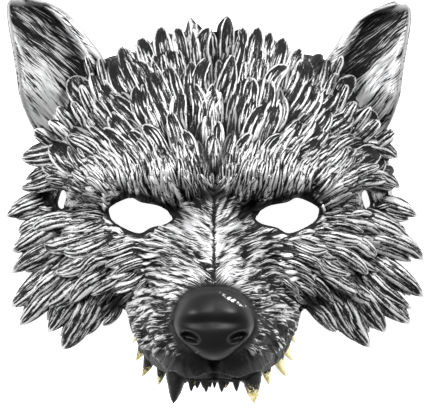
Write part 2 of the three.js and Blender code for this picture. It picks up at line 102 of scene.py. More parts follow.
# Fur: which way it lies (degrees from the x axis) and how long, wide and proud its locks are
FUR = np.array([
    # x, y, angle, length, half width, lift
    (0, 108, 90, 26, 4.6, 5), (0, 72, 90, 29, 4.2, 4.5), (0, 42, 90, 26, 3.4, 4),
    (0, 18, 90, 17, 2.6, 2.5),
    (30, 98, 78, 27, 4.8, 5), (30, 62, 72, 29, 4.4, 4.5), (27, 32, 68, 23, 3.5, 3.5),
    (55, 85, 62, 27, 4.6, 5), (57, 55, 52, 29, 4.6, 4.5), (54, 32, 46, 24, 3.8, 4),
    (80, 62, 46, 28, 5.2, 5), (80, 32, 32, 28, 5.2, 5), (100, 30, 12, 34, 6.0, 5.5),
    (16, 12, 78, 15, 2.0, 2), (34, 13, 80, 17, 2.3, 2.4), (50, 12, 72, 17, 2.4, 2.4),
    (64, 10, 48, 18, 2.8, 2.6),
    (72, 4, 18, 22, 3.8, 3.5), (102, 4, 3, 36, 6.4, 5.5), (80, -12, -6, 36, 6.0, 5),
    (62, -22, -14, 30, 4.6, 4), (104, -22, -14, 38, 6.8, 5.5), (84, -34, -24, 38, 6.4, 5.5),
    (62, -38, -30, 32, 5.0, 4.5), (104, -46, -26, 38, 6.8, 5.5), (84, -56, -40, 38, 6.4, 5.5),
    (64, -54, -52, 28, 5.2, 4.5), (92, -72, -50, 34, 6.4, 5.5), (72, -68, -58, 28, 5.6, 5),
    (3, 0, 62, 8, 1.0, 1), (3, -22, 54, 7, 0.9, 1), (3, -42, 52, 6, 0.9, 1), (13, -10, 34, 9, 1.1, 1),
    (26, -18, 10, 10, 1.2, 1.2), (40, -24, -10, 22, 3.2, 2.6), (50, -30, -24, 26, 4.0, 3.2),
    (13, -34, 26, 8, 1.0, 1), (27, -40, 0, 9, 1.1, 1), (42, -42, -32, 14, 2.2, 1.8),
    (13, -50, 30, 6, 0.8, 0.8), (28, -56, -8, 7, 0.9, 0.9), (42, -60, -46, 8, 1.0, 1),
    (30, -72, -34, 6, 0.8, 0.8), (44, -78, -66, 6, 0.9, 0.9), (28, -90, -62, 5, 0.8, 0.7),
    (10, -95, -88, 5, 0.8, 0.6),
])

# Places that stay black. x on either side, y, radius x, radius y, how dark
DARK_SPOTS = (
    (22, -3, 8, 7, 1.0), (0, 6, 13, 6, 0.92), (57, -58, 7, 6, 0.9), (61, 84, 6, 8, 0.85),
    (75, 4, 5, 4, 0.6),
)
# Places where the silver lies thickest
BRIGHT_SPOTS = (
    (66, 16, 13, 11, 0.24), (42, 14, 16, 8, 0.16), (30, 12, 10, 7, 0.1), (80, 45, 12, 12, 0.12),
    (10, -14, 12, 14, 0.08), (50, -32, 12, 10, 0.08), (0, 62, 9, 14, 0.1), (88, -28, 26, 36, 0.2),
)

# Locks that make the outline. side, tip x, tip y, root x, root y, half width, tip height
RIM = np.array([
    (-1, 115, 28, 84, 33, 7.5, 9), (-1, 116, 10, 90, 18, 5.5, 8), (-1, 124, -7, 101, 2, 6, 7),
    (-1, 117, -17, 92, -11, 5, 7), (-1, 120.5, -28, 88, -10, 6.5, 7), (-1, 121, -41, 90, -22, 6.5, 6),
    (-1, 121, -61, 90, -36, 7.5, 6), (-1, 112, -62, 86, -38, 6, 8), (-1, 116, -72, 88, -45, 6.5, 6),
    (-1, 99, -76, 80, -48, 7.5, 8), (-1, 91, -86, 72, -52, 7.5, 10), (-1, 83, -80, 66, -52, 6, 13),
    (1, 110, 28, 82, 34, 7.5, 9), (1, 111, 10, 88, 18, 5.5, 8), (1, 121, -7, 100, 1, 6, 7),
    (1, 115, -16, 91, -11, 5, 7), (1, 119, -25, 88, -9, 6.5, 7), (1, 125, -33, 90, -18, 6.5, 6),
    (1, 125, -55, 92, -32, 7, 6), (1, 118, -62, 88, -38, 6, 8), (1, 117, -71, 88, -45, 7, 6),
    (1, 102, -76, 80, -48, 7.5, 8), (1, 93, -85, 73, -52, 7.5, 10), (1, 84, -80, 66, -52, 6, 13),
    (-1, 55, 93, 43, 66, 5.6, 25), (-1, 44, 98, 36, 72, 5.6, 27), (-1, 31.5, 105, 25, 78, 6, 28),
    (-1, 22, 104, 17, 80, 4.5, 30), (-1, 14, 109, 11, 82, 5.5, 29), (-1, 4, 103, 3, 82, 4.5, 31),
    (1, 8.5, 109, 7, 82, 5.5, 29), (1, 17, 104, 14, 80, 4.5, 30), (1, 26, 104.5, 21, 78, 6, 28),
    (1, 34, 101, 29, 76, 4.5, 28), (1, 41, 98.5, 34, 73, 5.2, 27), (1, 50.5, 92.5, 42, 68, 5, 25),
    (-1, 64, 86, 52, 62, 5.5, 20), (1, 60, 86, 50, 62, 5.5, 20),
])

# Locks at the foot of each ear, in the same columns without the side
EAR_FOOT = np.array([
    (67, 86, 61, 64, 3.4, 29), (72, 77, 64, 56, 3.8, 31), (78, 70, 69, 50, 4.0, 32),
    (83, 60, 73, 44, 4.2, 32), (92, 57, 80, 42, 4.2, 30), (97, 49, 83, 36, 4.6, 28),
    (106, 44, 90, 34, 4.6, 23), (75, 87, 68, 68, 3.0, 31),
])

# In place of a number of strands: a leaf-shaped lock with a raised rim and thin lines
LEAF = 0
# How deep a lock's root is sunk, and how far its tip may hang below the root, as a share of its length
LOCK_SUNK, LOCK_DIP = 1.2, 0.5
# How wide and how long the fine hairs are
FUR_HAIR, MUZZLE_HAIR, EAR_HAIR = (0.55, 7), (0.75, 5.5), (0.8, 11)

# Ears: label, side, root x, half width, length
EARS = (("right", 1, 87.15, 27.0, 79.3), ("left", -1, 89.96, 30.0, 83.0))
EAR_Y, EAR_Z, EAR_ROOT_Z, EAR_ROOT_SHARE = 38.08, 19.0, 6.0, 0.36
EAR_TIP_LIFT, EAR_CUP, EAR_WALL, EAR_ROOT_WALL, EAR_HAIR_TURN = 12.0, 10.0, 3.4, 1.6, 52
# Share of the length, and the outer and inner edge there as shares of the half width
EAR_STATIONS = np.array([
    (0, 0.45, -0.9), (0.14, 0.66, -0.98), (0.3, 0.79, -1), (0.47, 0.85, -0.96), (0.6, 0.9, -0.78),
    (0.71, 0.95, -0.55), (0.82, 1, -0.34), (0.91, 1.02, -0.06), (0.965, 1, 0.28), (1, 0.92, 0.66),
])
# From the outer edge to the inner one, and how far up it cups
EAR_SECTION = np.array([
    (-1, 0.55), (-0.8, 0.3), (-0.35, -0.45), (0.1, -0.95), (0.4, -1), (0.56, -0.15), (0.78, 0.2),
    (1, -0.25),
])

NOSE_Y, NOSE_WIDTH, NOSE_LENGTH, NOSE_DEPTH, NOSE_STAND = -66.2, 45.0, 41.0, 34.0, 12.0
NOSTRIL_X, NOSTRIL_Y, NOSTRIL_TURN = 13.2, -6.9, 24

# Teeth: name, share of the lip from its corner, length and radius as shares, lean
TEETH = (
    ("tooth_back", 0.17, 0.6, 0.66, 0.5), ("tooth_middle", 0.29, 0.72, 0.8, 0.45),
    ("tooth_front", 0.43, 0.88, 0.9, 0.34), ("tooth_side", 0.61, 0.8, 0.72, 0.16),
    ("fang", 0.765, 1.2, 1.3, 0.08), ("incisor_outer", 0.87, 0.72, 0.62, 0.03),
    ("incisor_inner", 0.955, 0.72, 0.62, 0),
)
TOOTH_LENGTH, TOOTH_RADIUS, GUM_RADIUS, GUM_INSET, GUM_RAISE = 17.0, 3.6, 4.0, 5.5, 2.2
# How clean each tooth's paint is, in the order of the teeth
CLEAN = {"right": (0.45, 0.62, 0.66, 0.4, 0.25, -0.1, -0.2),
         "left": (0.42, 0.3, 0.2, 0.2, -0.35, -0.2, -0.1)}
# Share of the way to the tip, and radius as a share
TOOTH_TAPER = np.array([(0, 1.3), (0.3, 1.15), (0.65, 0.78), (0.88, 0.4), (1, 0.05)])

# Lights: name, place, size, power. Lengths in metres from here on
LIGHTS = (("key", (0.45, 0.65, 0.95), 0.5, 22), ("fill", (-0.75, 0.35, 0.85), 0.6, 14))
SKY_STRENGTH, FLOOR_REACH, FLOOR_GLOW = 0.22, 2, 1.0
CAMERA_X, CAMERA_HEIGHT, VIEW_WIDTH, SENSOR_WIDTH = 0.0009, 1.3, 0.2586, 36


# Shapes shared with the part's source

def read_table(rows, at, column=1):
    """A smooth curve through a table's rows, read at values of its first column."""
    keys, values = rows[:, 0], rows[:, column]
    last = len(keys) - 1
    before, after = np.maximum(np.arange(last + 1) - 1, 0), np.minimum(np.arange(last + 1) + 1, last)
    slope = (values[after] - values[before]) / (keys[after] - keys[before])
    at = np.clip(at, keys[0], keys[-1])
    i = np.clip(np.searchsorted(keys, at, side="right") - 1, 0, last - 1)
    span = keys[i + 1] - keys[i]
    t = (at - keys[i]) / span
    return ((2 * t**3 - 3 * t**2 + 1) * values[i] + (t**3 - 2 * t**2 + t) * span * slope[i]
            + (3 * t**2 - 2 * t**3) * values[i + 1] + (t**3 - t**2) * span * slope[i + 1])


def smooth_step(low, high, at):
    """0 up to low and 1 from high on, or the other way round where low is the larger."""
    t = np.clip((at - low) / (high - low), 0, 1)
    return t * t * (3 - 2 * t)


def bell(off, width, off_too=0.0, width_too=1.0):
    """1 in the middle, falling off over a width; with a second offset and width it is a round spot."""
    return np.exp(-((off / width) ** 2 + (off_too / width_too) ** 2))


def turned(x, y, degrees):
    """Coordinates along and across an axis turned by an angle."""
    c, s = math.cos(math.radians(degrees)), math.sin(math.radians(degrees))
    return x * c + y * s, y * c - x * s


def skin_height(x, y):
    """Height of the face's outer skin above the table."""
    along = (STOP_Y - y) / MUZZLE_LENGTH
    crest = MUZZLE_RISE * read_table(MUZZLE_STATIONS, along, 1)
    width = MUZZLE_HALF_WIDTH * read_table(MUZZLE_STATIONS, along, 2)
    muzzle = crest - (crest - MUZZLE_ROOT_LEVEL) * np.abs(x / width) ** MUZZLE_POWER
    dome = DOME_HEIGHT * (1 - np.abs(x / HALF_WIDTH) ** DOME_POWER
                          - np.abs((y - DOME_CENTRE_Y) / HALF_HEIGHT) ** DOME_POWER)
    height = np.maximum(dome, muzzle) + BLEND * np.log1p(np.exp(-np.abs(dome - muzzle) / BLEND))
    for form_x, form_y, radius_x, radius_y, rise, turn in FACE_FORMS:
        u, v = turned(np.abs(x) - form_x * HALF_WIDTH, y - form_y * HALF_HEIGHT, turn)
        height = height + rise * DOME_HEIGHT * bell(u, radius_x * HALF_WIDTH, v, radius_y * HALF_HEIGHT)
    return np.maximum(height, LOWEST)


def skin_slopes(x, y, step=0.5):
    """How steeply the face's skin climbs along x and along y."""
    return ((skin_height(x + step, y) - skin_height(x - step, y)) / (2 * step),
            (skin_height(x, y + step) - skin_height(x, y - step)) / (2 * step))


def unit(v):
    return v / np.maximum(np.linalg.norm(v, axis=-1, keepdims=True), 1e-9)


def skin_normal(x, y):
    sx, sy = skin_slopes(x, y)
    return unit(np.stack([-sx, -sy, np.ones_like(sx)], -1))


def fur_at(x, y):
    """Angle in radians, length, half width and lift of the fur at places on the face."""
    shape = np.shape(x)
    px, py = np.abs(np.ravel(x)), np.ravel(y)
    d2 = (px[:, None] - FUR[None, :, 0]) ** 2 + (py[:, None] - FUR[None, :, 1]) ** 2 + 4.0
    w = d2**-2.0
    w /= w.sum(1, keepdims=True)
    a = np.radians(FUR[:, 2])
    angle = np.arctan2(w @ np.sin(a), w @ np.cos(a))
    rest = w @ FUR[:, 3:]
    angle = np.where(np.ravel(x) < 0, math.pi - angle, angle)
    return angle.reshape(shape), *(rest[:, k].reshape(shape) for k in range(3))


def sample(field, i, j):
    """A field read between its grid points."""
    i, j = np.clip(i, 0, field.shape[0] - 1.001), np.clip(j, 0, field.shape[1] - 1.001)
    a, b = i.astype(int), j.astype(int)
    u, v = i - a, j - b
    return ((1 - u) * (1 - v) * field[a, b] + u * (1 - v) * field[a + 1, b]
            + (1 - u) * v * field[a, b + 1] + u * v * field[a + 1, b + 1])


def level_field(across, up, step):
    """Heights on a grid whose slopes come nearest to the slopes given."""
    rows, columns = across.shape
    b = np.zeros((rows, columns))
    gx, gy = step * (across[1:] + across[:-1]) / 2, step * (up[:, 1:] + up[:, :-1]) / 2
    b[:-1] -= gx
    b[1:] += gx
    b[:, :-1] -= gy
    b[:, 1:] += gy
    mirrored = np.block([[b, b[:, ::-1]], [b[::-1], b[::-1, ::-1]]])
    ki, kj = (2 - 2 * np.cos(2 * math.pi * np.fft.fftfreq(2 * n)) for n in (rows, columns))
    stiff = ki[:, None] + kj[None]
    stiff[0, 0] = 1
    return np.fft.ifft2(np.fft.fft2(mirrored) / stiff).real[:rows, :columns]


FLOW_STEP, FLOW_LOW = 2.0, -108.0


def hair_fields():
    """How far across and along the fur each point of a grid over the right half of the face lies."""
    x, y = np.meshgrid(np.arange(0, 130, FLOW_STEP), np.arange(FLOW_LOW, 120, FLOW_STEP), indexing="ij")
    angle = fur_at(x, y)[0]
    return (level_field(-np.sin(angle), np.cos(angle), FLOW_STEP),
            level_field(np.cos(angle), np.sin(angle), FLOW_STEP))


FLOW = hair_fields()


def hair_at(x, y):
    """How far across and along the fur a place on the face lies, in millimetres."""
    return tuple(sample(field, np.abs(x) / FLOW_STEP, (y - FLOW_LOW) / FLOW_STEP) for field in FLOW)


def spots_at(x, y, spots):
    """How strongly places on the face lie in each of some round spots."""
    return [how * bell(np.abs(x) - sx, rx, y - sy, ry) for sx, sy, rx, ry, how in spots]


def on_lips(x, y, top, middle):
    """1 on the black lips, falling to 0 at the hair above them and at the corners of the mouth."""
    return smooth_step(top, LIPS_LOW, y) * (1 - smooth_step(middle, LIPS_CORNER, np.abs(x)))


def on_muzzle(x, y, past):
    """1 on the muzzle's own sheet, falling to 0 a few millimetres past the line where it sinks."""
    return (smooth_step(SHEET_X + past, SHEET_X + past - 4, np.abs(x))
            * smooth_step(SHEET_Y + past, SHEET_Y + past - 4, y))


def tone_at(x, y):
    """How much silver a place on the face may take, 0 where it stays black."""
    tone = np.ones(np.shape(x))
    for spot in spots_at(x, y, DARK_SPOTS):
        tone = tone * (1 - spot)
    wedge = bell(np.abs(x) - 0.36 * (y - 15), 2.6)
    tone = tone * (1 - 0.7 * wedge * smooth_step(13, 20, y) * (1 - smooth_step(38, 50, y)))
    return tone * (1 - 0.94 * on_lips(x, y, -77, 26))


def glow_at(x, y):
    """How much more silver than elsewhere a place on the face takes."""
    return sum(spots_at(x, y, BRIGHT_SPOTS))


# Outlines

def rounded(points, count=160):
    """Points of a smooth curve through a closed outline's corners."""
    n = len(points)
    out = []
    for k in range(n):
        p0, p1, p2, p3 = (points[(k + d) % n] for d in (-1, 0, 1, 2))
        t = np.linspace(0, 1, max(2, count // n), endpoint=False)[:, None]
        out.append(0.5 * (2 * p1 + (p2 - p0) * t + (2 * p0 - 5 * p1 + 4 * p2 - p3) * t**2
                          + (3 * p1 - p0 - 3 * p2 + p3) * t**3))
    return np.concatenate(out)


def signed_distance(x, y, outline):
    """Distance to a closed outline, positive inside, and the nearest points on it."""
    p = np.stack([np.ravel(x), np.ravel(y)], -1)
    a, b = outline, np.roll(outline, -1, 0)
    best, near = np.full(len(p), 1e9), np.zeros_like(p)
    inside = np.zeros(len(p), bool)
    for start, end in zip(a, b):
        e = end - start
        t = np.clip(((p - start) @ e) / max(e @ e, 1e-12), 0, 1)[:, None]
        q = start + t * e
        d = np.linalg.norm(p - q, axis=1)
        closer = d < best
        best[closer], near[closer] = d[closer], q[closer]
        crosses = (start[1] > p[:, 1]) != (end[1] > p[:, 1])
        with np.errstate(divide="ignore", invalid="ignore"):
            at = e[0] * (p[:, 1] - start[1]) / e[1] + start[0]
        inside ^= crosses & (p[:, 0] < at)
    return np.where(inside, best, -best).reshape(np.shape(x)), near.reshape(*np.shape(x), 2)


def face_outline():
    """The face's outline down to the lip, the same on both sides."""
    lip = np.stack([LIP_EDGE[:, 0] * MUZZLE_HALF_WIDTH, STOP_Y - LIP_EDGE[:, 1] * MUZZLE_LENGTH], -1)
    right = np.concatenate([FACE_EDGE, lip])
    left = right[1:-1][::-1] * (-1, 1)
    return rounded(np.concatenate([right, left]), 330)


def eye_outline(side):
    return rounded(EYE_OUTLINE * (EYE_WIDTH, EYE_HEIGHT) + (EYE_X, EYE_Y), 90) * (side, 1)


def slot_outline(side):
    a = np.linspace(0, 2 * math.pi, 24, endpoint=False)
    straight = (SLOT_LENGTH - SLOT_WIDTH) / 2
    p = np.stack([np.cos(a), np.sin(a)], -1) * SLOT_WIDTH / 2
    p[:, 1] += np.sign(np.sin(a)) * straight
    t = math.radians(SLOT_TURN)
    p = p @ np.array([[math.cos(t), math.sin(t)], [-math.sin(t), math.cos(t)]])
    return (p + (SLOT_X, SLOT_Y)) * (side, 1)


# Meshes

def in_scene(name, data):
    made = bpy.data.objects.new(name, data)
    bpy.context.scene.collection.objects.link(made)
    return made


def new_piece(name, points, faces, material, silver, shade, strand=None):
    """A mesh from points in millimetres, riding on the frame.

    Each vertex keeps its silver, its shade and its strand: how far across and along the hair it lies, and
    on which lock.
    """
    mesh = bpy.data.meshes.new(name)
    co = (np.asarray(points, float) + (0, FRAME_Y, 0)) * MM
    faces = np.asarray(faces, np.int32)
    mesh.vertices.add(len(co))
    mesh.vertices.foreach_set("co", co.ravel())
    size = faces.shape[1]
    mesh.loops.add(faces.size)
    mesh.loops.foreach_set("vertex_index", faces.ravel())
    mesh.polygons.add(len(faces))
    mesh.polygons.foreach_set("loop_start", np.arange(0, faces.size, size, dtype=np.int32))
    mesh.polygons.foreach_set("loop_total", np.full(len(faces), size, np.int32))
    mesh.update(calc_edges=True)
    mesh.validate()
    mesh.polygons.foreach_set("use_smooth", np.ones(len(mesh.polygons), bool))
    for label, values in (("silver", silver), ("shade", shade)):
        layer = mesh.attributes.new(label, "FLOAT", "POINT")
        layer.data.foreach_set("value", np.asarray(values, np.float32).ravel())
    if strand is not None:
        layer = mesh.attributes.new("strand", "FLOAT_VECTOR", "POINT")
        layer.data.foreach_set("vector", np.asarray(strand, np.float32).ravel())
    mesh.materials.append(material)
    piece = in_scene(name, mesh)
    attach(piece, "root")
    return piece


def grid_faces(rows, columns, wrap=False):
    """Faces of a grid of points, row by row; wrap joins the last column to the first."""
    i, j = np.meshgrid(np.arange(rows - 1), np.arange(columns if wrap else columns - 1), indexing="ij")
    k = (j + 1) % columns
    corners = (i * columns + j, i * columns + k, (i + 1) * columns + k, (i + 1) * columns + j)
    return np.stack(corners, -1).reshape(-1, 4)


def soften(field, passes):
    """A field blurred over its nearest neighbours, several times over."""
    for _ in range(passes):
        padded = np.pad(field, 1, mode="edge")
        field = (padded[:-2, 1:-1] + padded[2:, 1:-1] + padded[1:-1, :-2] + padded[1:-1, 2:]
                 + 4 * field) / 8
    return field


def streaks(shape, di, dj, reach, passes, step):
    """Noise smeared along a direction field, which gives hairs that follow it; about 0 to 1."""
    noise = soften(RNG.standard_normal(shape), passes)
    start = np.meshgrid(*(np.arange(n, dtype=float) for n in shape), indexing="ij")
    total, weight = noise.copy(), 1.0
    for sign in (1, -1):
        i, j = start
        for k in range(1, round(reach / step) + 1):
            vi, vj = sample(di, i, j), sample(dj, i, j)
            i = np.clip(i + sign * step * vi, 0, shape[0] - 1)
            j = np.clip(j + sign * step * vj, 0, shape[1] - 1)
            w = math.cos(0.5 * math.pi * k * step / (reach + step)) ** 2
            total += w * sample(noise, i, j)
            weight += w
    total = total / weight
    return 1 / (1 + np.exp(-1.9 * total / total.std()))


# Materials

class Paint:
    """A material whose nodes are made by short calls, each of which returns the socket to read."""

    def __init__(self, name):
        self.material = bpy.data.materials.new(name)
        self.material.use_nodes = True
        self.tree = self.material.node_tree
        self.shader = self.tree.nodes["Principled BSDF"]

    def feed(self, made, inputs):
        """Sets a node's inputs, by name or by number, to values or to what sockets give."""
        for key, value in inputs.items():
            if isinstance(value, bpy.types.NodeSocket):
                self.tree.links.new(value, made.inputs[key])
            else:
                made.inputs[key].default_value = value

    def node(self, kind, inputs, output=0, **settings):
        """A new node, of which one output is returned."""
        made = self.tree.nodes.new("ShaderNode" + kind)
        for key, value in settings.items():
            setattr(made, key, value)
        self.feed(made, inputs)
        return made.outputs[output]

    def vertex(self, label, output="Fac"):
        """A value that every point of the mesh carries."""
        return self.node("Attribute", {}, output, attribute_name=label)

    def noise(self, scale, detail=2.0, roughness=0.5, distortion=0.0, where=None):
        if where is None:
            where = self.node("TexCoord", {}, "Object")
        return self.node("TexNoise", {"Vector": where, "Scale": scale, "Detail": detail,
                                      "Roughness": roughness, "Distortion": distortion}, "Fac")

    def multiply_add(self, value, factor, more):
        return self.node("Math", {0: value, 1: factor, 2: more}, operation="MULTIPLY_ADD")

    def spread(self, value, low, high, start=0.0, end=1.0, mode="LINEAR"):
        """Maps the range from low to high onto another."""
        inputs = {0: value, 1: low, 2: high, 3: start, 4: end}
        return self.node("MapRange", inputs, interpolation_type=mode)

    def ramp(self, value, stops, mode="LINEAR"):
        """Colours between stops, each a place and a colour."""
        made = self.tree.nodes.new("ShaderNodeValToRGB")
        made.color_ramp.interpolation = mode
        elements = made.color_ramp.elements
        while len(elements) < len(stops):
            elements.new(0.5)
        for element, (place, colour) in zip(elements, stops):
            element.position = place
            element.color = (*colour, 1)
        self.feed(made, {"Fac": value})
        return made.outputs["Color"]

    def mix(self, share, first, second):
        return self.node("Mix", {0: share, 6: first, 7: second}, 2, data_type="RGBA")

    def bump(self, height, strength, distance, **normal):
        return self.node("Bump", {"Height": height, "Strength": strength, "Distance": distance, **normal})

    def surface(self, colour, roughness, specular, normal, metallic=0.0):
        """Feeds the shader and returns the finished material."""
        self.feed(self.shader, {"Base Color": colour, "Roughness": roughness, "Metallic": metallic,
                                "Specular IOR Level": specular, "Normal": normal})
        return self.material


def brushed_silver(name, cover=0.48, silver=0.64, width=0.17, grain=0.5, hair=0.7, patch=0.35):
    """Black moulded skin with silver paint dragged over its raised parts.

    cover sets how little silver there is and width how softly it ends. grain, hair and patch are how much
    specks, fine hairs and broad patches break it.
    """
    paint = Paint(name)
    grit = paint.noise(1100.0, 4.0, 0.7)
    hairs = paint.noise(1.0, 2.0, 0.55, 0.3, paint.vertex("strand", "Vector"))
    amount = paint.multiply_add(grit, grain, paint.vertex("silver"))
    amount = paint.multiply_add(paint.noise(140.0, 3.0, 0.6), patch, amount)
    amount = paint.multiply_add(hairs, hair, amount)
    middle = cover + 0.5 * (grain + patch + hair)
    amount = paint.spread(amount, middle - width, middle + width, mode="SMOOTHSTEP")
    coat = paint.node("Math", {0: amount, 1: paint.vertex("shade")}, operation="MULTIPLY", use_clamp=True)
    greys = ((0.06, 0.006), (0.25, 0.03), (0.6, silver * 0.45), (1.0, silver))
    colour = paint.ramp(coat, [(place, (v, v, v * 1.01)) for place, v in greys])
    combed = paint.bump(hairs, 0.5, 0.0008)
    return paint.surface(colour, paint.spread(grit, 0.3, 0.7, 0.36, 0.55), 0.12,
                         paint.bump(grit, 0.35, 0.0004, Normal=combed),
                         paint.node("Math", {0: coat, 1: 0.5}, operation="MULTIPLY"))


def nose_gloss():
    """Black satin with a few smears of silver."""
    paint = Paint("nose_gloss")
    smears = paint.multiply_add(paint.noise(520.0, 5.0, 0.75), 1.3, paint.vertex("silver"))
    # Where the shade value is low, in the nostrils and along the crease, the black is darker still: painted
    # shade
    blacks = [(0.0, (0.001, 0.001, 0.001)), (1.0, (0.006, 0.006, 0.0062))]
    black = paint.ramp(paint.vertex("shade"), blacks)
    colour = paint.mix(paint.spread(smears, 1.2, 1.4, mode="SMOOTHSTEP"), black, (0.75, 0.75, 0.76, 1))
    return paint.surface(colour, paint.spread(paint.noise(120.0, 3.0), 0, 1, 0.34, 0.48), 0.22,
                         paint.bump(paint.noise(2200.0, 3.0, 0.6), 0.15, 0.0003))


def worn_ivory():
    """Yellow ivory paint that is worn and speckled to black; a silver value near 1 keeps it clean."""
    paint = Paint("worn_ivory")
    speck, cloud = paint.noise(800.0, 5.0, 0.75), paint.noise(220.0, 3.0)
    clean = paint.multiply_add(speck, 1.3, paint.vertex("silver"))
    yellows = [(0.3, (0.62, 0.5, 0.16)), (0.5, (0.82, 0.75, 0.42)), (0.75, (0.86, 0.83, 0.6))]
    ivory = paint.ramp(cloud, yellows, "EASE")
    colour = paint.mix(paint.spread(clean, 1.02, 1.2, mode="SMOOTHSTEP"), (0.012, 0.012, 0.013, 1), ivory)
    return paint.surface(colour, paint.spread(cloud, 0, 1, 0.32, 0.5), 0.3,
                         paint.bump(speck, 0.3, 0.0003))


FUR_PAINT = brushed_silver("fur_paint", width=0.23, grain=0.7, hair=1.3)
MUZZLE_PAINT = brushed_silver("muzzle_paint", cover=0.52, width=0.27, grain=0.7, hair=2.5)
SKIN_PAINT = brushed_silver("skin_paint", hair=0.8)
EAR_PAINT = brushed_silver("ear_paint", cover=0.46, width=0.22, grain=0.4, hair=1.9)


# Face skin

OPENINGS = [outline(side) for side in (1, -1) for outline in (eye_outline, slot_outline)]
EDGE = face_outline()


def near_hole(x, y):
    """Distance outwards from the nearest eye hole."""
    return np.minimum(*(-signed_distance(x, y, eye_outline(side))[0] for side in (1, -1)))


def nose_closeness(x, y):
    """1 under the nose pad's rim, falling to 0 a few millimetres out."""
    d = np.hypot(x / (NOSE_WIDTH / 2), (y - NOSE_Y) / (NOSE_LENGTH / 2))
    return 1 - smooth_step(0.97, 1.22, d)


def face_grid(ys, reach_x, columns):
    """Rows of points across the face, evenly spaced along its surface and drawn onto near outlines."""
    fine = np.linspace(-reach_x, reach_x, 900)
    x = np.empty((len(ys), columns))
    for k, y in enumerate(ys):
        height = skin_height(fine, np.full_like(fine, y))
        arc = np.concatenate([[0], np.cumsum(np.hypot(np.diff(fine), np.diff(height)))])
        x[k] = np.interp(np.linspace(0, arc[-1], columns), arc, fine)
    y = np.repeat(ys[:, None], columns, 1)
    reach = 0.58 * (ys[1] - ys[0])
    inside, near = signed_distance(x, y, EDGE)
    snap = np.abs(inside) < reach
    x[snap], y[snap] = near[snap].T
    gap = np.full(x.shape, 1e9)
    for outline in OPENINGS:
        within, near = signed_distance(x, y, outline)
        snap = (np.abs(within) < reach) & (inside > 0)
        x[snap], y[snap] = near[snap].T
        gap = np.minimum(gap, -np.where(snap, 0, within))
    faces = grid_faces(*x.shape)
    centre = np.stack([x, y], -1).reshape(-1, 2)[faces].mean(1)
    keep = signed_distance(centre[:, 0], centre[:, 1], EDGE)[0] > 0
    for outline in OPENINGS:
        keep &= signed_distance(centre[:, 0], centre[:, 1], outline)[0] < 0
    ok = (inside > -reach) & (gap > -reach)
    keep &= ok.ravel()[faces].all(1)
    return x, y, np.maximum(inside, 0), faces[keep]


def fur_streaks(x, y, step, reach, passes, stride):
    """Streaks over a face grid that follow the fur."""
    angle = fur_at(x, y)[0] + 2.2 * soften(RNG.standard_normal(x.shape), 80)
    sx, sy = skin_slopes(x, y)
    vx, vy = np.cos(angle), np.sin(angle)
    run = np.sqrt(1 + (sx * vx + sy * vy) ** 2)
    vx, vy = vx / run, vy / run
    di = vy / step
    dj = (vx - np.gradient(x, axis=0) * di) / np.maximum(np.gradient(x, axis=1), 0.03)
    return [streaks(x.shape, di, dj, far, blur, stride) for far, blur in zip(reach, passes)]


def eye_rim_shade(x, y):
    """0 on a band of painted shade round an eye hole, broader above the hole, under the brow, and 1 beyond.
    """
    above = smooth_step(-9, -3, y) * (1 - 0.85 * smooth_step(54, 62, np.abs(x)))
    return smooth_step(1.0 + 2.2 * above, 2.2 + 4.2 * above, near_hole(x, y))


def face_skin(step=1.6, columns=176):
    """The shell under the fur: an outer and an inner sheet joined along the edges."""
    ys = np.arange(STOP_Y - MUZZLE_LENGTH - 4, FACE_TOP, step)
    x, y, inside, faces = face_grid(ys, FACE_REACH, columns)
    [hairs] = fur_streaks(x, y, step, [14], [3], 1.2)
    top = np.stack([x, y, skin_height(x, y)], -1)
    normal = skin_normal(x, y)
    calm = smooth_step(1, 5, near_hole(x, y)) * smooth_step(0, 4, inside)
    covered = on_muzzle(x, y, 2)
    outer = top + normal * ((hairs - 0.6) * 1.4 * calm * (1 - covered) - 1.8 * covered)[..., None]
    inner = top - normal * WALL
    for sheet in (outer, inner):
        sheet[..., 2] = np.maximum(sheet[..., 2], 0.0)
    by_slot = bell(np.hypot(np.abs(x) - SLOT_X, y - SLOT_Y), 15)
    # The shell takes little silver and a shade of 0.7, so that the gaps between the locks stay dark:
    # painted shade between them. Round the strap slots it takes a little more, and the band round the eye
    # holes is painted shade too.
    silver = 0.42 * hairs + by_slot * 0.26 * hairs
    shade = tone_at(x, y) * eye_rim_shade(x, y) * (0.7 + 0.1 * by_slot)
    strand = np.stack([*hair_at(x, y), np.sign(x)], -1)
    return two_sheets(outer, inner, faces, silver, shade, strand, closed=True)


def lip_line(x):
    """The lower edge of the lips, with a flew on either side of the middle; the gum shows below it."""
    ax = np.abs(x)
    return -93.4 - 3.2 * bell(ax - 13, 6.5) + 0.9 * np.maximum(ax - 26, 0)


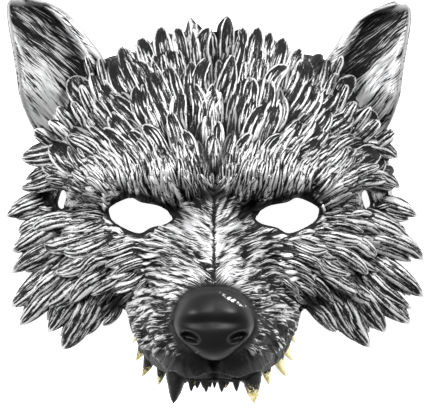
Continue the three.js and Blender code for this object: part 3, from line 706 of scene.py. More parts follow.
def muzzle_skin(step=0.62, columns=430):
    """The muzzle, the bridge and the skin round the eyes, with short fine hair over wrinkled mounds."""
    ys = np.arange(STOP_Y - MUZZLE_LENGTH - 0.3, SHEET_TOP, step)
    x, y, inside, faces = face_grid(ys, SHEET_REACH, columns)
    hairs, strands, mounds = fur_streaks(x, y, step, [6, 11, 9], [1, 5, 90], 0.4)
    ax = np.abs(x)
    nose = nose_closeness(x, y)
    across, along = hair_at(x, y)
    # Folds along the fur, deepest beside the muzzle
    beside = smooth_step(22, 32, ax) * smooth_step(-68, -56, y) * smooth_step(-4, -12, y)
    fold = np.sin(2 * math.pi * across / FOLD_WIDTH + 6 * (mounds - 0.5)) * (0.35 + 1.3 * mounds)
    fold = fold * (0.25 + 0.75 * beside) * smooth_step(-72, -62, y)
    # The skin is calm at the eyes, the nose and the lips, and has a cleft down its middle
    calm = smooth_step(0.3, 2.6, near_hole(x, y)) * (1 - nose) * (1 - 0.85 * on_lips(x, y, -78, 28))
    rise = ((hairs - 0.5) * 0.8 + (strands - 0.5) * 2.2 + (mounds - 0.5) * 4.4 + fold) * calm
    rise -= 0.9 * bell(ax, 1.3) * (1 - nose) * smooth_step(-96, -88, y)
    band = smooth_step(0, 1.0, lip_line(x) - y)
    rise = 0.4 + rise * smooth_step(0, 3, inside) - 2.6 * (1 - on_muzzle(x, y, 4)) - 1.9 * band
    normal = skin_normal(x, y)
    points = np.stack([x, y, skin_height(x, y)], -1) + normal * rise[..., None]
    # Silver on what stands up, less in the cleft and low down; a bright line edges the lip
    silver = 0.45 + 0.3 * (hairs - 0.5) + 0.34 * (strands - 0.5) + 0.32 * (mounds - 0.5)
    silver = silver + 0.4 * glow_at(x, y) + 0.04 * bell(ax - 8, 8) * smooth_step(-62, -40, y)
    silver = silver - 0.5 * bell(ax, 0.9) * (y > -50) - 0.14 * smooth_step(-50, -74, y) + 0.17 * fold
    line = bell(y - lip_line(x) - 0.7, 0.6) * (0.6 + 0.4 * smooth_step(18, 26, -x))
    # The band round the eye holes is painted shade
    shade = tone_at(x, y) * eye_rim_shade(x, y) * (1 - nose) * (1 - band)
    shade, silver = np.maximum(shade, 0.6 * line), np.maximum(silver, 0.66 * line)
    wander = 9 * soften(RNG.standard_normal(x.shape), 160)
    hair_width, hair_length = MUZZLE_HAIR
    strand = np.stack([(across + wander) / hair_width, along / hair_length, np.sign(x)], -1)
    return two_sheets(points, points - normal * MUZZLE_SKIRT, faces, silver, shade, strand)


def free_edges(faces):
    """The edges that only one face uses."""
    edges = np.concatenate([faces[:, [k, (k + 1) % 4]] for k in range(4)])
    key = np.sort(edges, 1)
    order = np.lexsort((key[:, 1], key[:, 0]))
    key = key[order]
    same = np.zeros(len(edges), bool)
    pair = (key[1:] == key[:-1]).all(1)
    same[order[1:][pair]] = True
    same[order[:-1][pair]] = True
    return edges[~same]


def two_sheets(outer, inner, faces, silver, shade, strand, closed=False):
    """A sheet with its free edges walled to a second one, which has faces of its own where closed."""
    count = len(outer) * len(outer[0])
    free = free_edges(faces)
    walls = np.stack([free[:, 1], free[:, 0], free[:, 0] + count, free[:, 1] + count], -1)
    faces = np.concatenate([faces, *([faces[:, ::-1] + count] if closed else []), walls])
    points = np.concatenate([outer, inner]).reshape(-1, 3)
    used = np.unique(faces)
    place = np.full(len(points), -1)
    place[used] = np.arange(len(used))
    silver, shade = (np.concatenate([v, 0 * v]).ravel()[used] for v in (silver, shade))
    strand = np.concatenate([strand, strand]).reshape(-1, 3)[used]
    return points[used], place[faces], silver, shade, strand


# Fur locks

def near_openings(x, y):
    """Distance outwards from the nearest eye hole or strap slot."""
    return np.min([-signed_distance(x, y, outline)[0] for outline in OPENINGS], axis=0)


def grown_spine(x, y, length, t, sway):
    """Points along each lock as it follows the fur from its root."""
    spine = np.empty((len(x), len(t), 2))
    px, py = x.copy(), y.copy()
    turn = RNG.normal(0, 0.10, len(x))
    for k in range(len(t)):
        spine[:, k, 0], spine[:, k, 1] = px, py
        if k < len(t) - 1:
            angle = fur_at(px, py)[0] + turn + sway * (t[k] - 0.35) * 2
            sx, sy = skin_slopes(px, py)
            run = np.sqrt(1 + np.minimum((sx * np.cos(angle) + sy * np.sin(angle)) ** 2, 6))
            move = length * (t[k + 1] - t[k]) / run
            px, py = px + move * np.cos(angle), py + move * np.sin(angle)
    return spine


def drawn_spine(x, y, tips, t, sway):
    """Points along each lock between a root and a tip that are both given."""
    root = np.stack([x, y], -1)
    way = tips[:, :2] - root
    across = np.stack([-way[:, 1], way[:, 0]], -1)
    arch = (sway[:, None] * t * (1 - t))[..., None]
    return root[:, None] + way[:, None] * t[None, :, None] + across[:, None] * arch


def leaf_pattern(s, t, wide, length):
    """A leaf-shaped lock: a raised line inside its outline, and thin lines down its dished middle."""
    def any_of(low, high):
        return RNG.uniform(low, high, (len(wide), 1, 1))

    place = t[:, None]
    beside = (1 - np.abs(s)) * wide[..., None]
    ahead = ((1 - t) * length[:, None])[..., None] * (1 - 0.6 * s**2)
    depth = beside * ahead / np.maximum(np.hypot(beside, ahead), 1e-6)
    thick = any_of(0.42, 0.75) * (1 + 0.35 * np.sin(any_of(0, 6) + 7 * place))
    ridge = bell(depth - 0.85, thick) * any_of(0.6, 0.95)
    for vein in (-0.42, 0.02, 0.42):
        start, end = any_of(0.0, 0.4), any_of(0.6, 0.95)
        shown = smooth_step(start, start + 0.15, place) * (1 - smooth_step(end - 0.2, end, place))
        off = any_of(-0.16, 0.16) + 0.1 * np.sin(any_of(0, 6) + 5 * place)
        ridge = np.maximum(ridge, bell(s - vein - off, 0.1) * shown * any_of(0.3, 0.95))
    return ridge


def strand_pattern(strands, s, t, n):
    """A lock of several strands, uneven in width and strength."""
    place = t[:, None]
    wave = RNG.uniform(0, 2 * math.pi, (n, 1, 1))
    wiggle = 0.09 * np.sin(wave + 6 * place) + 0.05 * np.sin(2.3 * wave + 11 * place)
    at = s + wiggle * (1 - s**2)
    lean, squeeze = RNG.uniform(-0.3, 0.3, (n, 1, 1)), RNG.uniform(-0.13, 0.13, (n, 1, 1))
    at = np.clip(at + lean * (1 - at**2) + squeeze * np.sin(2 * math.pi * at), -0.999, 0.999)
    ridge = 0.5 - 0.5 * np.cos(math.pi * strands * (at + 1))
    index = np.clip(((at + 1) * 0.5 * strands).astype(int), 0, strands - 1)
    strength = RNG.uniform(0.5, 1.0, (n, strands))
    fade = 0.85 + 0.2 * np.sin(wave + 7 * place + 2.1 * index)
    strength = np.take_along_axis(np.repeat(strength[:, None], len(t), 1), index, 2)
    return ridge * strength * fade


def lock_taper(t, pointed, n):
    """The width along each lock, as a share, from a blunt tip at pointed 0 to a keen one at 1."""
    blunt = np.sqrt(np.clip(1 - (np.clip(t - 0.6, 0, 1) / 0.4) ** 2, 0, 1))
    keen = np.clip(1 - (np.clip(t - 0.3, 0, 1) / 0.7) ** 1.7, 0, 1)
    keenness = np.clip(pointed + RNG.uniform(-0.2, 0.2, (n, 1)), 0, 1)
    taper = ((1 - keenness) * blunt + keenness * keen) * (0.8 + 0.2 * smooth_step(0, 0.4, t))
    return np.maximum(taper, 0.02)


def lock_frames(flat, height, hold, rise):
    """Each lock's middle line in space, and the directions across it and out of it."""
    spine = np.concatenate([flat, (np.maximum(height, hold) + rise)[..., None]], -1)
    forward = unit(np.gradient(spine, axis=1))
    free = smooth_step(0.5, 4, hold - height)[..., None]
    normal = unit(skin_normal(flat[..., 0], flat[..., 1]) * (1 - free) + np.array([0, 0, 1.0]) * free)
    side = unit(np.cross(normal, forward))
    return spine, side, np.cross(forward, side)


def lock_section(strands, t, wide, length):
    """Places across a lock, the raised lines there, and how far these have run together near the tip."""
    leaf = strands == LEAF
    s = np.linspace(-1, 1, (20 if leaf else strands * 4) + 1)
    s = np.concatenate([[-1, -1], s[1:-1], [1, 1]])
    ridge = leaf_pattern(s, t, wide, length) if leaf else strand_pattern(strands, s, t, len(wide))
    ridge[..., [0, -1]] = 0
    shut = np.zeros_like(ridge)
    if not leaf:
        ridge[..., [1, -2]] = 0
        shut[..., 2:-2] = smooth_step(0.86, 0.97, t)[:, None]
    return s, ridge, shut


def lock_paint(x, y, s, t, ridge, shut, leaf, tone):
    """The silver and the shade of locks, with more silver on raised lines and away from the root."""
    root = smooth_step(0.02, 0.3, t)[:, None]
    silver = 0.17 + np.maximum(ridge, 0.75 * shut) * (0.26 + 0.5 * root)
    if leaf:
        lit = np.where(TINTS.random((len(x), 1, 1)) < 0.5, -1, 1) * s
        tint = TINTS.uniform(0.0, 0.22, (len(x), 1, 1))
        silver = silver + tint * smooth_step(-0.4, 0.7, lit) * (1 - ridge)
    silver = silver + 0.5 * glow_at(x, y)
    # The doubled edge points that hang into the skin take no silver: painted shade under each lock's edge.
    # The band round the eye holes is painted shade too.
    silver[..., [0, -1]] = 0
    return silver, tone[:, None, None] * tone_at(x, y) * eye_rim_shade(x, y)


def make_locks(x, y, length, half_width, lift, strands, pointed=0.0, tone=1.0, tips=None, stations=14,
               bend=0.25, crown=0.34):
    """Locks that start in the skin, follow the fur and rise to their tips.

    tips, where given, holds each lock's own tip as x, y and height. crown is how far the middle of a lock
    stands up, as a share of its half width.
    """
    t = 1 - (1 - np.linspace(0, 1, stations)) ** 1.8
    tone = np.broadcast_to(np.asarray(tone, float), x.shape)
    sway = RNG.normal(0, bend, len(x))
    if tips is None:
        flat = grown_spine(x, y, length, t, sway)
        clear = near_openings(flat[..., 0], flat[..., 1]).min(1) > half_width * 0.8
        keep = clear & (signed_distance(flat[:, -1, 0], flat[:, -1, 1], EDGE)[0] > -3.5)
        flat, length, half_width, lift, tone = (v[keep] for v in (flat, length, half_width, lift, tone))
    else:
        flat = drawn_spine(x, y, tips, t, sway)
        length = np.linalg.norm(tips[:, :2] - flat[:, 0], axis=1)
    n, lift = len(flat), lift[:, None]
    # A lock lies on the skin, or on its own way to the tip where the skin falls away under it
    height = skin_height(flat[..., 0], flat[..., 1])
    climb = -LOCK_DIP * length[:, None] if tips is None else tips[:, 2:3] - height[:, :1]
    hold = height[:, :1] + climb * t
    rise = -LOCK_SUNK + (lift + LOCK_SUNK) * np.sin(0.5 * math.pi * np.clip(t / 0.75, 0, 1))
    rise = rise - 0.5 * lift * smooth_step(0.8, 1.0, t)
    spine, side, normal = lock_frames(flat, height, hold, rise)

    wide = half_width[:, None] * lock_taper(t, pointed, n)
    s, ridge, shut = lock_section(strands, t, wide, length)
    tall = 0.3 if strands == LEAF else 1.0 / strands
    up = wide[..., None] * (crown * (1 - s**2) + tall * 0.8 * ridge * (1 - 0.4 * shut))
    # The doubled points at its edges hang down into the skin, so that no gap shows under it
    edge = np.zeros(len(s))
    edge[[0, -1]] = 1
    drop = np.clip(rise + np.clip(hold - height, 0, 1.5) + 1.6, 1.3, lift * 1.3 + 2.0)
    drop = drop * (1 - 0.6 * smooth_step(0.75, 1, t))
    up = up - edge * drop[..., None]
    out = wide[..., None] * (s * (1 - 0.2 * edge))
    points = spine[:, :, None] + side[:, :, None] * out[..., None] + normal[:, :, None] * up[..., None]
    points[..., 2] = np.maximum(points[..., 2], 0.3)

    silver, shade = lock_paint(points[..., 0], points[..., 1], s, t, ridge, shut, strands == LEAF, tone)
    faces = grid_faces(stations, len(s))[:, ::-1]
    faces = (faces[None] + (np.arange(n) * stations * len(s))[:, None, None]).reshape(-1, 4)
    hair_width, hair_length = FUR_HAIR
    along = np.broadcast_to((t * length[:, None])[..., None], silver.shape)
    which = np.broadcast_to(RNG.uniform(0, 900, (n, 1, 1)), silver.shape)
    strand = np.stack([wide[..., None] * s / hair_width, along / hair_length, which], -1)
    return points.reshape(-1, 3), faces, silver.ravel(), shade.ravel(), strand.reshape(-1, 3)


def gather(*batches):
    """Several batches of locks as one mesh."""
    offsets = np.cumsum([0] + [len(batch[0]) for batch in batches])
    faces = np.concatenate([batch[1] + offset for batch, offset in zip(batches, offsets)])
    points, _, *values = (np.concatenate(column) for column in zip(*batches))
    return points, faces, *values


def strew(low, high, accept, along, across, tries=5000):
    """Places for locks, a distance apart along and across the fur on the right half and mirrored."""
    x, y = RNG.uniform(low, high, (tries, 2)).T
    keep = accept(x, y)
    x, y = x[keep], y[keep]
    angle, length, width, _ = fur_at(x, y)
    c, s = np.cos(angle), np.sin(angle)
    chosen = []
    for k in range(len(x)):
        dx, dy = x[k] - x[chosen], y[k] - y[chosen]
        u = (dx * c[k] + dy * s[k]) / (along * length[k])
        v = (dy * c[k] - dx * s[k]) / (across * width[k])
        if not len(chosen) or (u * u + v * v).min() > 1:
            chosen.append(k)
    x, y = x[chosen], y[chosen]
    return (np.concatenate([x, -x + RNG.normal(0, 0.6, len(x))]),
            np.concatenate([y, y + RNG.normal(0, 0.6, len(y))]))


def sown(places, strands, scale=1.0, slim=1.0, lift_scale=1.0, tone=(0.8, 1.0), **shape):
    """Locks of the size that the fur has at their places, with some variety."""
    x, y = places
    _, length, width, lift = fur_at(x, y)
    n = len(x)
    size = scale * RNG.uniform(0.8, 1.25, n)
    width = width * slim * size * RNG.uniform(0.85, 1.15, n)
    lift = lift * lift_scale * RNG.uniform(0.7, 1.2, n)
    return make_locks(x, y, length * size, width, lift, strands, tone=RNG.uniform(*tone, n), **shape)


def brow_line(x):
    """Where the brow's long strands give way to the forehead's locks."""
    ax = np.abs(x)
    return (20 + 6 * smooth_step(20, 45, ax) - 8 * smooth_step(55, 75, ax)
            - 3 * (1 - smooth_step(0, 14, ax)))


def forehead_fur():
    """Leaf-shaped locks over a layer of smaller ones, which is darker: painted shade under the top locks.
    """
    def accept(x, y):
        inside = signed_distance(x, y, EDGE)[0] > 3
        off_ear = y < 62 - 0.9 * (x - 58)
        return inside & (y > brow_line(x) - 3) & (y < 84) & ((x < 58) | off_ear)

    # The layer below takes a low tone: painted shade under the top locks
    under = sown(strew((1, 12), (94, 90), accept, 0.36, 1.3), LEAF, 0.9, 1.0, 0.6, (0.45, 0.7),
                 pointed=0.2)
    top = sown(strew((2, 12), (94, 90), accept, 0.46, 1.75), LEAF, 1.2, 1.25, 1.0, (0.85, 1.0),
               pointed=0.15, crown=0.18, bend=0.36, stations=20)
    return gather(under, top)


def cheek_fur():
    """Four layers of locks with strands: small ones beside the eye, dark ones whose darkness is painted
    shade under the rest, slim and broad ones.
    """
    def accept(x, y):
        inside = signed_distance(x, y, EDGE)[0] > 2
        outer = x > 38 + 17 * smooth_step(-42, -62, y) + 22 * smooth_step(-14, -2, y)
        return inside & outer & (y < brow_line(x) + 4)

    def beside_eye(x, y):
        inside = signed_distance(x, y, EDGE)[0] > 3
        return inside & (near_openings(x, y) > 1) & (x > 58) & (y < brow_line(x) + 2)

    low, high = (36, -76), (108, 34)
    small = sown(strew((56, -26), (108, 24), beside_eye, 0.16, 0.55), 2, 0.5, 0.6, 0.7, (0.8, 1.0),
                 pointed=0.6)
    # The layer below takes a low tone: painted shade under the other locks
    under = sown(strew(low, high, accept, 0.26, 0.9), 3, 0.9, 0.7, 0.4, (0.3, 0.55),
                 pointed=0.7, bend=0.3)
    slim = sown(strew(low, high, accept, 0.4, 1.1), 2, 1.1, 0.5, 0.7, (0.7, 0.95),
                pointed=0.6, stations=18, bend=0.3, crown=0.5)
    broad = sown(strew(low, high, accept, 0.46, 1.35), 4, 1.2, 0.85, 1.5, (0.95, 1.0),
                 pointed=0.35, stations=24, bend=0.32, crown=0.62)
    return gather(small, under, slim, broad)


def rim_fur():
    """The locks that make the outline, each with two lesser ones beside it."""
    crown = RIM[:, 2] > 60
    kinds = ((RIM[~crown], 4, 0.6, 0.25, 0.5), (RIM[crown], LEAF, 0.05, 0.12, 0.2))
    batches = []
    for rows, strands, pointed, bend, arch in kinds:
        side, tip_x, tip_y, root_x, root_y, width, tip_z = rows.T
        tips = np.stack([side * tip_x, tip_y, tip_z], -1)
        batches.append(make_locks(side * root_x, root_y, None, width, np.full(len(rows), 2.6), strands,
                                  pointed, 0.95, tips, stations=20, bend=bend, crown=arch))
        root = np.stack([side * root_x, root_y], -1)
        way = np.stack([side * (tip_x - root_x), tip_y - root_y], -1)
        for shift, pull in ((-0.8, 0.84), (0.8, 0.8)):
            across = unit(np.stack([-way[:, 1], way[:, 0]], -1)) * (width * shift)[:, None]
            start = root + across
            low = np.concatenate([start + way * pull - across * 0.3, tip_z[:, None] - 1.5], 1)
            batches.append(make_locks(*start.T, None, width * 0.6, np.full(len(rows), 1.6), 3,
                                      pointed, 0.8, low, stations=16))
    return gather(*batches)


def ear_foot_fur():
    """Rounded locks that rise over the foot of each ear."""
    tip_x, tip_y, root_x, root_y, width, tip_z = (np.tile(v, 2) for v in EAR_FOOT.T)
    side = np.repeat([1, -1], len(EAR_FOOT))
    tips = np.stack([side * tip_x, tip_y, tip_z], -1)
    return make_locks(side * root_x, root_y, None, width, np.full(len(side), 2.4), 3, pointed=0.1,
                      tips=tips, stations=18, bend=0.15, crown=0.5)


def brow_fur():
    """Long fine locks between the eyes and the forehead."""
    def accept(x, y):
        low = 1.5 - 3 * smooth_step(52, 68, x) + 3 * (1 - smooth_step(6, 18, x))
        return (y > low) & (y < brow_line(x) + 3) & (x < 76)

    places = strew((1, -4), (78, 32), accept, 0.26, 1.0)
    return sown(places, 2, tone=(0.85, 1.0), pointed=0.55, stations=11, bend=0.15)


# Ears

def ear_base(side, root_x, half_width, length, a, c):
    """The ear's smooth surface at shares of its length and of its width, and half its width there."""
    outer, inner = read_table(EAR_STATIONS, a, 1), read_table(EAR_STATIONS, a, 2)
    middle, half = (outer + inner) / 2, (outer - inner) / 2
    x = root_x + half_width * middle - c * half_width * half
    y = EAR_Y + a * length
    free = EAR_Z + EAR_TIP_LIFT * a + EAR_CUP * np.minimum(1, 1.4 * half) * read_table(EAR_SECTION, c)
    seat = np.maximum(skin_height(x, y), EAR_ROOT_Z)
    z = seat + (free - seat) * smooth_step(0, EAR_ROOT_SHARE, a)
    return np.stack([side * x, y, z], -1), half_width * half


def ear_skin(side, root_x, half_width, length, rows=150, columns=96):
    """A cupped ear as a ring of points per row: front, inner edge, back and outer edge."""
    a, c = np.meshgrid(np.linspace(0, 1, rows), np.linspace(-1, 1, columns), indexing="ij")
    base, half = ear_base(side, root_x, half_width, length, a, c)

    flap = smooth_step(0.48, 0.6, c)
    step_i = length / (rows - 1)
    step_j = np.maximum(2 * half / (columns - 1), 0.12)
    lean = np.radians(48 + 30 * (1 - smooth_step(-0.95, -0.4, c)) + 26 * flap
                      - 14 * (1 - smooth_step(0, 0.4, a)) * smooth_step(-0.8, 0.2, c))
    lean = lean + 1.6 * soften(RNG.standard_normal(a.shape), 80)
    di, dj = np.sin(lean) / step_i, -np.cos(lean) / step_j * (1 - 0.75 * flap)
    reach_and_blur = ((9, 1), (14, 6), (12, 40))
    fine, hairs, clumps = (streaks(a.shape, di, dj, *how, 0.5) for how in reach_and_blur)

    lip = np.clip(bell(np.abs(c) - 0.965, 0.04) + bell(a - 0.975, 0.03), 0, 1)
    hollow = smooth_step(-0.06, 0.1, a - (0.86 - 0.52 * (c + 0.95))) * (1 - flap)
    rise = ((fine - 0.5) * 0.5 + (hairs - 0.5) * (1.1 - 0.5 * hollow + flap)
            + (clumps - 0.5) * (1.2 + 1.6 * flap))
    rise = (rise * (1 - lip) + 1.1 * lip) * smooth_step(0.0, 0.12, a)
    normal = unit(np.cross(np.gradient(base, axis=1), np.gradient(base, axis=0)))
    normal = unit(normal * np.sign(normal[..., 2:3] + 1e-9) + (0, 0, 0.9))
    top = base + normal * rise[..., None]
    wall = EAR_ROOT_WALL + (EAR_WALL - EAR_ROOT_WALL) * smooth_step(0.1, 0.4, a)
    under = base - normal * wall[..., None]
    under[..., 2] = np.maximum(under[..., 2], 0.5)
    bulge = np.array([-side * 0.4, 0, 0])
    edge_in = 0.5 * (top[:, -1:] + under[:, -1:]) + bulge
    edge_out = 0.5 * (top[:, :1] + under[:, :1]) - bulge
    ring = np.concatenate([top, edge_in, under[:, ::-1], edge_out], 1)

    # Painted shade: less silver and a lower shade in the hollow, and a lower shade along the fold, in the
    # crease near the tip and at the foot under the locks
    silver = 0.24 * fine + 0.26 * hairs + 0.16 * clumps + 0.26 - 0.23 * hollow - 0.04 * flap
    silver = np.maximum(silver, 1.3 * lip * (0.7 + 0.3 * smooth_step(0.5, 0.75, a)))
    fold = bell(c - 0.44, 0.06) * smooth_step(0.15, 0.3, a) * (1 - smooth_step(0.85, 0.95, a))
    crease = bell(a - 0.955, 0.014) * (np.abs(c) < 0.93)
    shade = (1 - 0.25 * hollow) * (1 - 0.5 * fold) * (1 - 0.8 * crease)
    shade = shade * (1 - 0.4 * bell(c - 0.3, 0.25, a - 0.24, 0.1))
    shade = shade + (0.6 - shade) * lip
    across, back = turned(base[..., 1] - EAR_Y, c * half, EAR_HAIR_TURN)
    across = across + 10 * soften(RNG.standard_normal(a.shape), 140)
    hair_width, hair_length = EAR_HAIR
    strand = np.stack([across / hair_width, -back / hair_length, np.full(a.shape, 5.0 * side)], -1)
    strand = np.concatenate([strand, strand[:, -1:], strand[:, ::-1], strand[:, :1]], 1)
    # The edge walls and the back take a low shade: painted shade that draws a dark outline round the ear
    edge = np.ones((rows, 1))
    tip = smooth_step(0.94, 0.97, a)
    silver = np.concatenate([silver, 1.1 * edge, 0.3 + 0.3 * hairs[:, ::-1] + 0.4 * tip, 1.1 * edge], 1)
    shade = np.concatenate([shade, 0.2 * edge, 0.3 + 0.1 * tip, 0.2 * edge], 1)

    wide = ring.shape[1]
    k = np.arange(columns - 1)
    last = (rows - 1) * wide
    cap = np.stack([last + k + 1, last + 2 * columns - 1 - k, last + 2 * columns - k, last + k], -1)
    faces = np.concatenate([grid_faces(rows, wide, wrap=True), cap])
    faces = faces if side < 0 else faces[:, ::-1]
    return ring.reshape(-1, 3), faces, silver.ravel(), shade.ravel(), strand.reshape(-1, 3)


# Nose

def nose_pad(rows=110, columns=200):
    """A rounded block that narrows downwards, with lobes, a crease, a plate and two curled nostrils."""
    polar = math.pi * np.clip(np.linspace(0, 1, rows), 0.012, 0.988)
    turn = np.linspace(0, 2 * math.pi, columns, endpoint=False)
    p, q = np.meshgrid(polar, turn, indexing="ij")
    up = np.cos(p)
    below = np.clip(-up, 0, 1)
    around = np.sin(p) ** 0.75
    cx, cz = (np.sign(v) * np.abs(v) ** 0.85 for v in (np.cos(q), np.sin(q)))
    middle = skin_height(np.array(0.0), np.array(NOSE_Y)) + NOSE_STAND - NOSE_DEPTH / 2
    x = NOSE_WIDTH / 2 * around * (1 - 0.34 * below**1.5) * cx
    v = up * NOSE_LENGTH / 2
    z = middle + NOSE_DEPTH / 2 * around * (1 - 0.12 * below) * cz
    front = smooth_step(0.0, 0.55, cz)
    ax = np.abs(x)

    lobes = 1.3 * bell(ax - 11, 8, v - 6.5, 5)
    crease = -1.5 * bell(v - 1.8 + 0.004 * x**2, 3.2) * np.exp(-(ax / 17) ** 4)
    brim = 0.22 * bell(v + 3.0 - 0.006 * x**2, 3.2)
    plate = 0.9 * bell(x, 8, v + 10, 8)
    hx, hy = turned(ax - NOSTRIL_X, v - NOSTRIL_Y, NOSTRIL_TURN)
    nostril = np.exp(-((hx / 5.0) ** 2 + (hy / 2.7) ** 2) ** 2)
    curl = bell(hx + 1.5, 2.6, hy + 1.6, 0.9)
    wing = 0.8 * bell(hx, 6.5, hy + 3.6, 1.5)
    z = z + (lobes + crease + brim + plate + wing - 5.0 * nostril + 1.8 * curl) * front

    gx, gy = x - 10.5, v - 13.5
    glint = np.exp(-(((gx + 0.75 * gy) / 6.5) ** 2 + ((gy + 0.5 * gx) / 2.1) ** 2) ** 2)
    low = bell(x + 10 - 0.9 * (v + 16), 1.3, v + 16, 3.4)
    silver = 0.62 * glint * front + 0.62 * low + 0.1 * curl
    # The nostrils and a band along the crease are darkened: painted shade
    shade = (1 - nostril) * (1 - 0.7 * bell(v - 1.6, 2.6) * bell(ax, 14))
    points = np.stack([x, NOSE_Y + v, z], -1)
    return points.reshape(-1, 3), grid_faces(rows, columns, wrap=True), silver.ravel(), shade.ravel()


# Gum and teeth

def lengths_along(points, count):
    """How far along a line each of its points lies, and the same for evenly spaced ones."""
    arc = np.concatenate([[0], np.cumsum(np.linalg.norm(np.diff(points, axis=0), axis=1))])
    return arc, np.linspace(0, arc[-1], count)


def lip_path(count=240):
    """Points along the gum's middle from the right corner of the mouth to the left, evenly spaced."""
    right = []
    for share_x, along in LIP_EDGE:
        x, y = share_x * MUZZLE_HALF_WIDTH, STOP_Y - along * MUZZLE_LENGTH
        inward = -GUM_INSET * skin_normal(np.array(x), np.array(y + GUM_RAISE))
        right.append(np.array([x, y + GUM_RAISE, float(skin_height(np.array(x), np.array(y)))]) + inward)
    points = np.array(right + [p * (-1, 1, 1) for p in right[:-1][::-1]])
    arc, even = lengths_along(points, count)
    table = np.concatenate([arc[:, None], points], 1)
    smooth = np.stack([read_table(table, even, k) for k in (1, 2, 3)], -1)
    arc, even = lengths_along(smooth, count)
    return np.stack([np.interp(even, arc, column) for column in smooth.T], -1)


def gum(path, around=28):
    """A rough round bead along the lip, which carries the teeth."""
    t = np.linspace(0, 1, len(path))
    forward = unit(np.gradient(path, axis=0))
    side = unit(np.cross(forward, (0, 0, 1.0)))
    up = np.cross(side, forward)
    a = np.linspace(0, 2 * math.pi, around, endpoint=False)
    rough = soften(RNG.standard_normal((len(path), around)), 2)
    ends = np.sqrt(np.sin(math.pi * np.clip(np.minimum(t, 1 - t) * 8, 0.02, 0.5)))
    radius = GUM_RADIUS * (1 + 0.13 * rough) * ends[:, None]
    ring = (path[:, None] + side[:, None] * (radius * np.cos(a))[..., None]
            + up[:, None] * (radius * np.sin(a))[..., None])
    front = 1 - smooth_step(20, 30, np.abs(path[:, 0]))
    ring[..., 1] -= (front * 2.6)[:, None]
    faces = grid_faces(len(path), around, wrap=True)
    return ring.reshape(-1, 3), faces, (0.25 + 0.3 * rough).ravel(), np.full(rough.size, 0.3)


def tooth(root, side, length, radius, lean, around=18, rows=20):
    """A grooved tooth hanging from a point on the gum, with each point's share of the way to the tip."""
    t = np.linspace(0, 1, rows)
    r = read_table(TOOTH_TAPER, t)[:, None] * radius
    reach = t * length
    centre = root + np.stack([side * lean * reach * t, -reach, -0.4 * lean * reach * t], -1)
    a = np.linspace(0, 2 * math.pi, around, endpoint=False)
    grooves = 0.07 * np.sin(5 * a) * (1 - t)[:, None]
    r = r * (1 + grooves + 0.035 * RNG.standard_normal((rows, around)))
    ring = centre[:, None] + np.stack([np.cos(a) * r, np.zeros_like(r), np.sin(a) * r], -1)
    return ring.reshape(-1, 3), grid_faces(rows, around, wrap=True), np.repeat(t, around)


def on_path(path, side, along):
    """The point of a path at a share of the way from one side's end to its middle."""
    share = along / 2 if side > 0 else 1 - along / 2
    return path[int(round(share * (len(path) - 1)))]


def jagged_gum(path):
    """The small broken points between the fangs."""
    batches = []
    for side in (1, -1):
        for along in np.arange(0.8, 1.0, 0.028):
            root = on_path(path, side, along + RNG.normal(0, 0.004)) - (0, 3.4, 0)
            sizes = [RNG.uniform(*ends) for ends in ((-1, 1), (3.5, 8.0), (1.2, 2.3), (0, 0.35))]
            points, faces, t = tooth(root, *sizes, around=12, rows=10)
            clean = RNG.choice([-0.3, -0.1, 0.15])
            batches.append((points, faces, clean + 0.3 * t, np.ones(len(t))))
    return gather(*batches)


# Build

def dress(name, batch, material, replaces=None):
    """Adds a piece, riding on the frame, and hides the node of the frame that it stands for, where there is
    one.
    """
    points, faces, *values = batch
    piece = new_piece(name, points, faces, material, *values)
    if replaces:
        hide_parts(replaces)


dress("face_skin", face_skin(), SKIN_PAINT, "face_shell")
dress("muzzle_skin", muzzle_skin(), MUZZLE_PAINT)
for name, fur in (("fur_forehead", forehead_fur), ("fur_cheeks", cheek_fur), ("fur_rim", rim_fur),
                  ("fur_brow", brow_fur), ("fur_ear_foot", ear_foot_fur)):
    dress(name, fur(), FUR_PAINT)

for label, *sizes in EARS:
    dress("ear_skin_" + label, ear_skin(*sizes), EAR_PAINT, "ear_" + label)

dress("nose_skin", nose_pad(), nose_gloss(), "nose_pad")

MOUTH = lip_path()
IVORY = worn_ivory()
dress("gum", gum(MOUTH), SKIN_PAINT)
dress("jagged_gum", jagged_gum(MOUTH), IVORY)

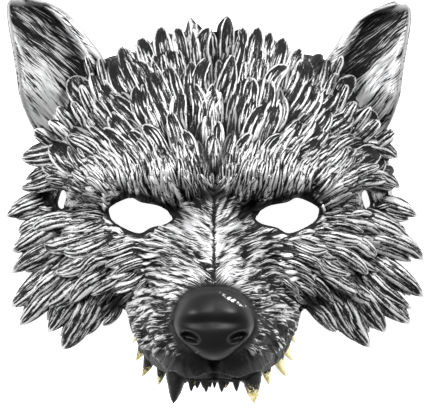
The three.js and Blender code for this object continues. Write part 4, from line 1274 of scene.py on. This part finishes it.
for side, label in ((1, "right"), (-1, "left")):
    for (name, along, size, radius, lean), clean in zip(TEETH, CLEAN[label]):
        root = on_path(MOUTH, side, along)
        points, faces, t = tooth(root, side, size * TOOTH_LENGTH, radius * TOOTH_RADIUS, lean)
        paint = clean + 0.35 * smooth_step(0.35, 0.9, t) - 0.3 * (1 - smooth_step(0.15, 0.5, t))
        batch = (points, faces, paint, np.ones(len(t)))
        dress(f"{name}_{label}_enamel", batch, IVORY, f"{name}_{label}")


# Floor, light and camera

def stage_floor():
    """A white floor that glows, so that it stays white under any light."""
    mesh = bpy.data.meshes.new("floor")
    corners = [(x * FLOOR_REACH, y * FLOOR_REACH, 0) for x, y in ((-1, -1), (1, -1), (1, 1), (-1, 1))]
    mesh.from_pydata(corners, [], [(0, 1, 2, 3)])
    paint = Paint("floor_paint")
    noise = paint.node("TexNoise", {"Scale": 40.0}, "Fac")
    tint = paint.ramp(noise, [(0.0, (0.9, 0.9, 0.9)), (1.0, (0.93, 0.93, 0.93))], "EASE")
    paint.feed(paint.shader, {"Base Color": tint, "Roughness": 0.9, "Emission Color": (1, 1, 1, 1),
                              "Emission Strength": FLOOR_GLOW})
    mesh.materials.append(paint.material)
    in_scene("floor", mesh)


def studio():
    """A pale sky, two round lights and a camera straight above."""
    scene = bpy.context.scene
    scene.world = bpy.data.worlds.new("studio")
    scene.world.use_nodes = True
    sky = scene.world.node_tree.nodes["Background"].inputs
    sky["Color"].default_value = (1, 1, 1, 1)
    sky["Strength"].default_value = SKY_STRENGTH
    scene.view_settings.view_transform = "Standard"
    for name, place, size, power in LIGHTS:
        light = bpy.data.lights.new(name, "AREA")
        light.shape, light.size, light.energy = "DISK", size, power
        lamp = in_scene(name, light)
        lamp.location = place
        lamp.rotation_euler = (-lamp.location).to_track_quat("-Z", "Y").to_euler()
    camera = bpy.data.cameras.new("camera")
    camera.sensor_width = SENSOR_WIDTH
    camera.lens = SENSOR_WIDTH * CAMERA_HEIGHT / VIEW_WIDTH
    scene.camera = in_scene("camera", camera)
    scene.camera.location = (CAMERA_X, FRAME_Y * MM, CAMERA_HEIGHT)


stage_floor()
studio()
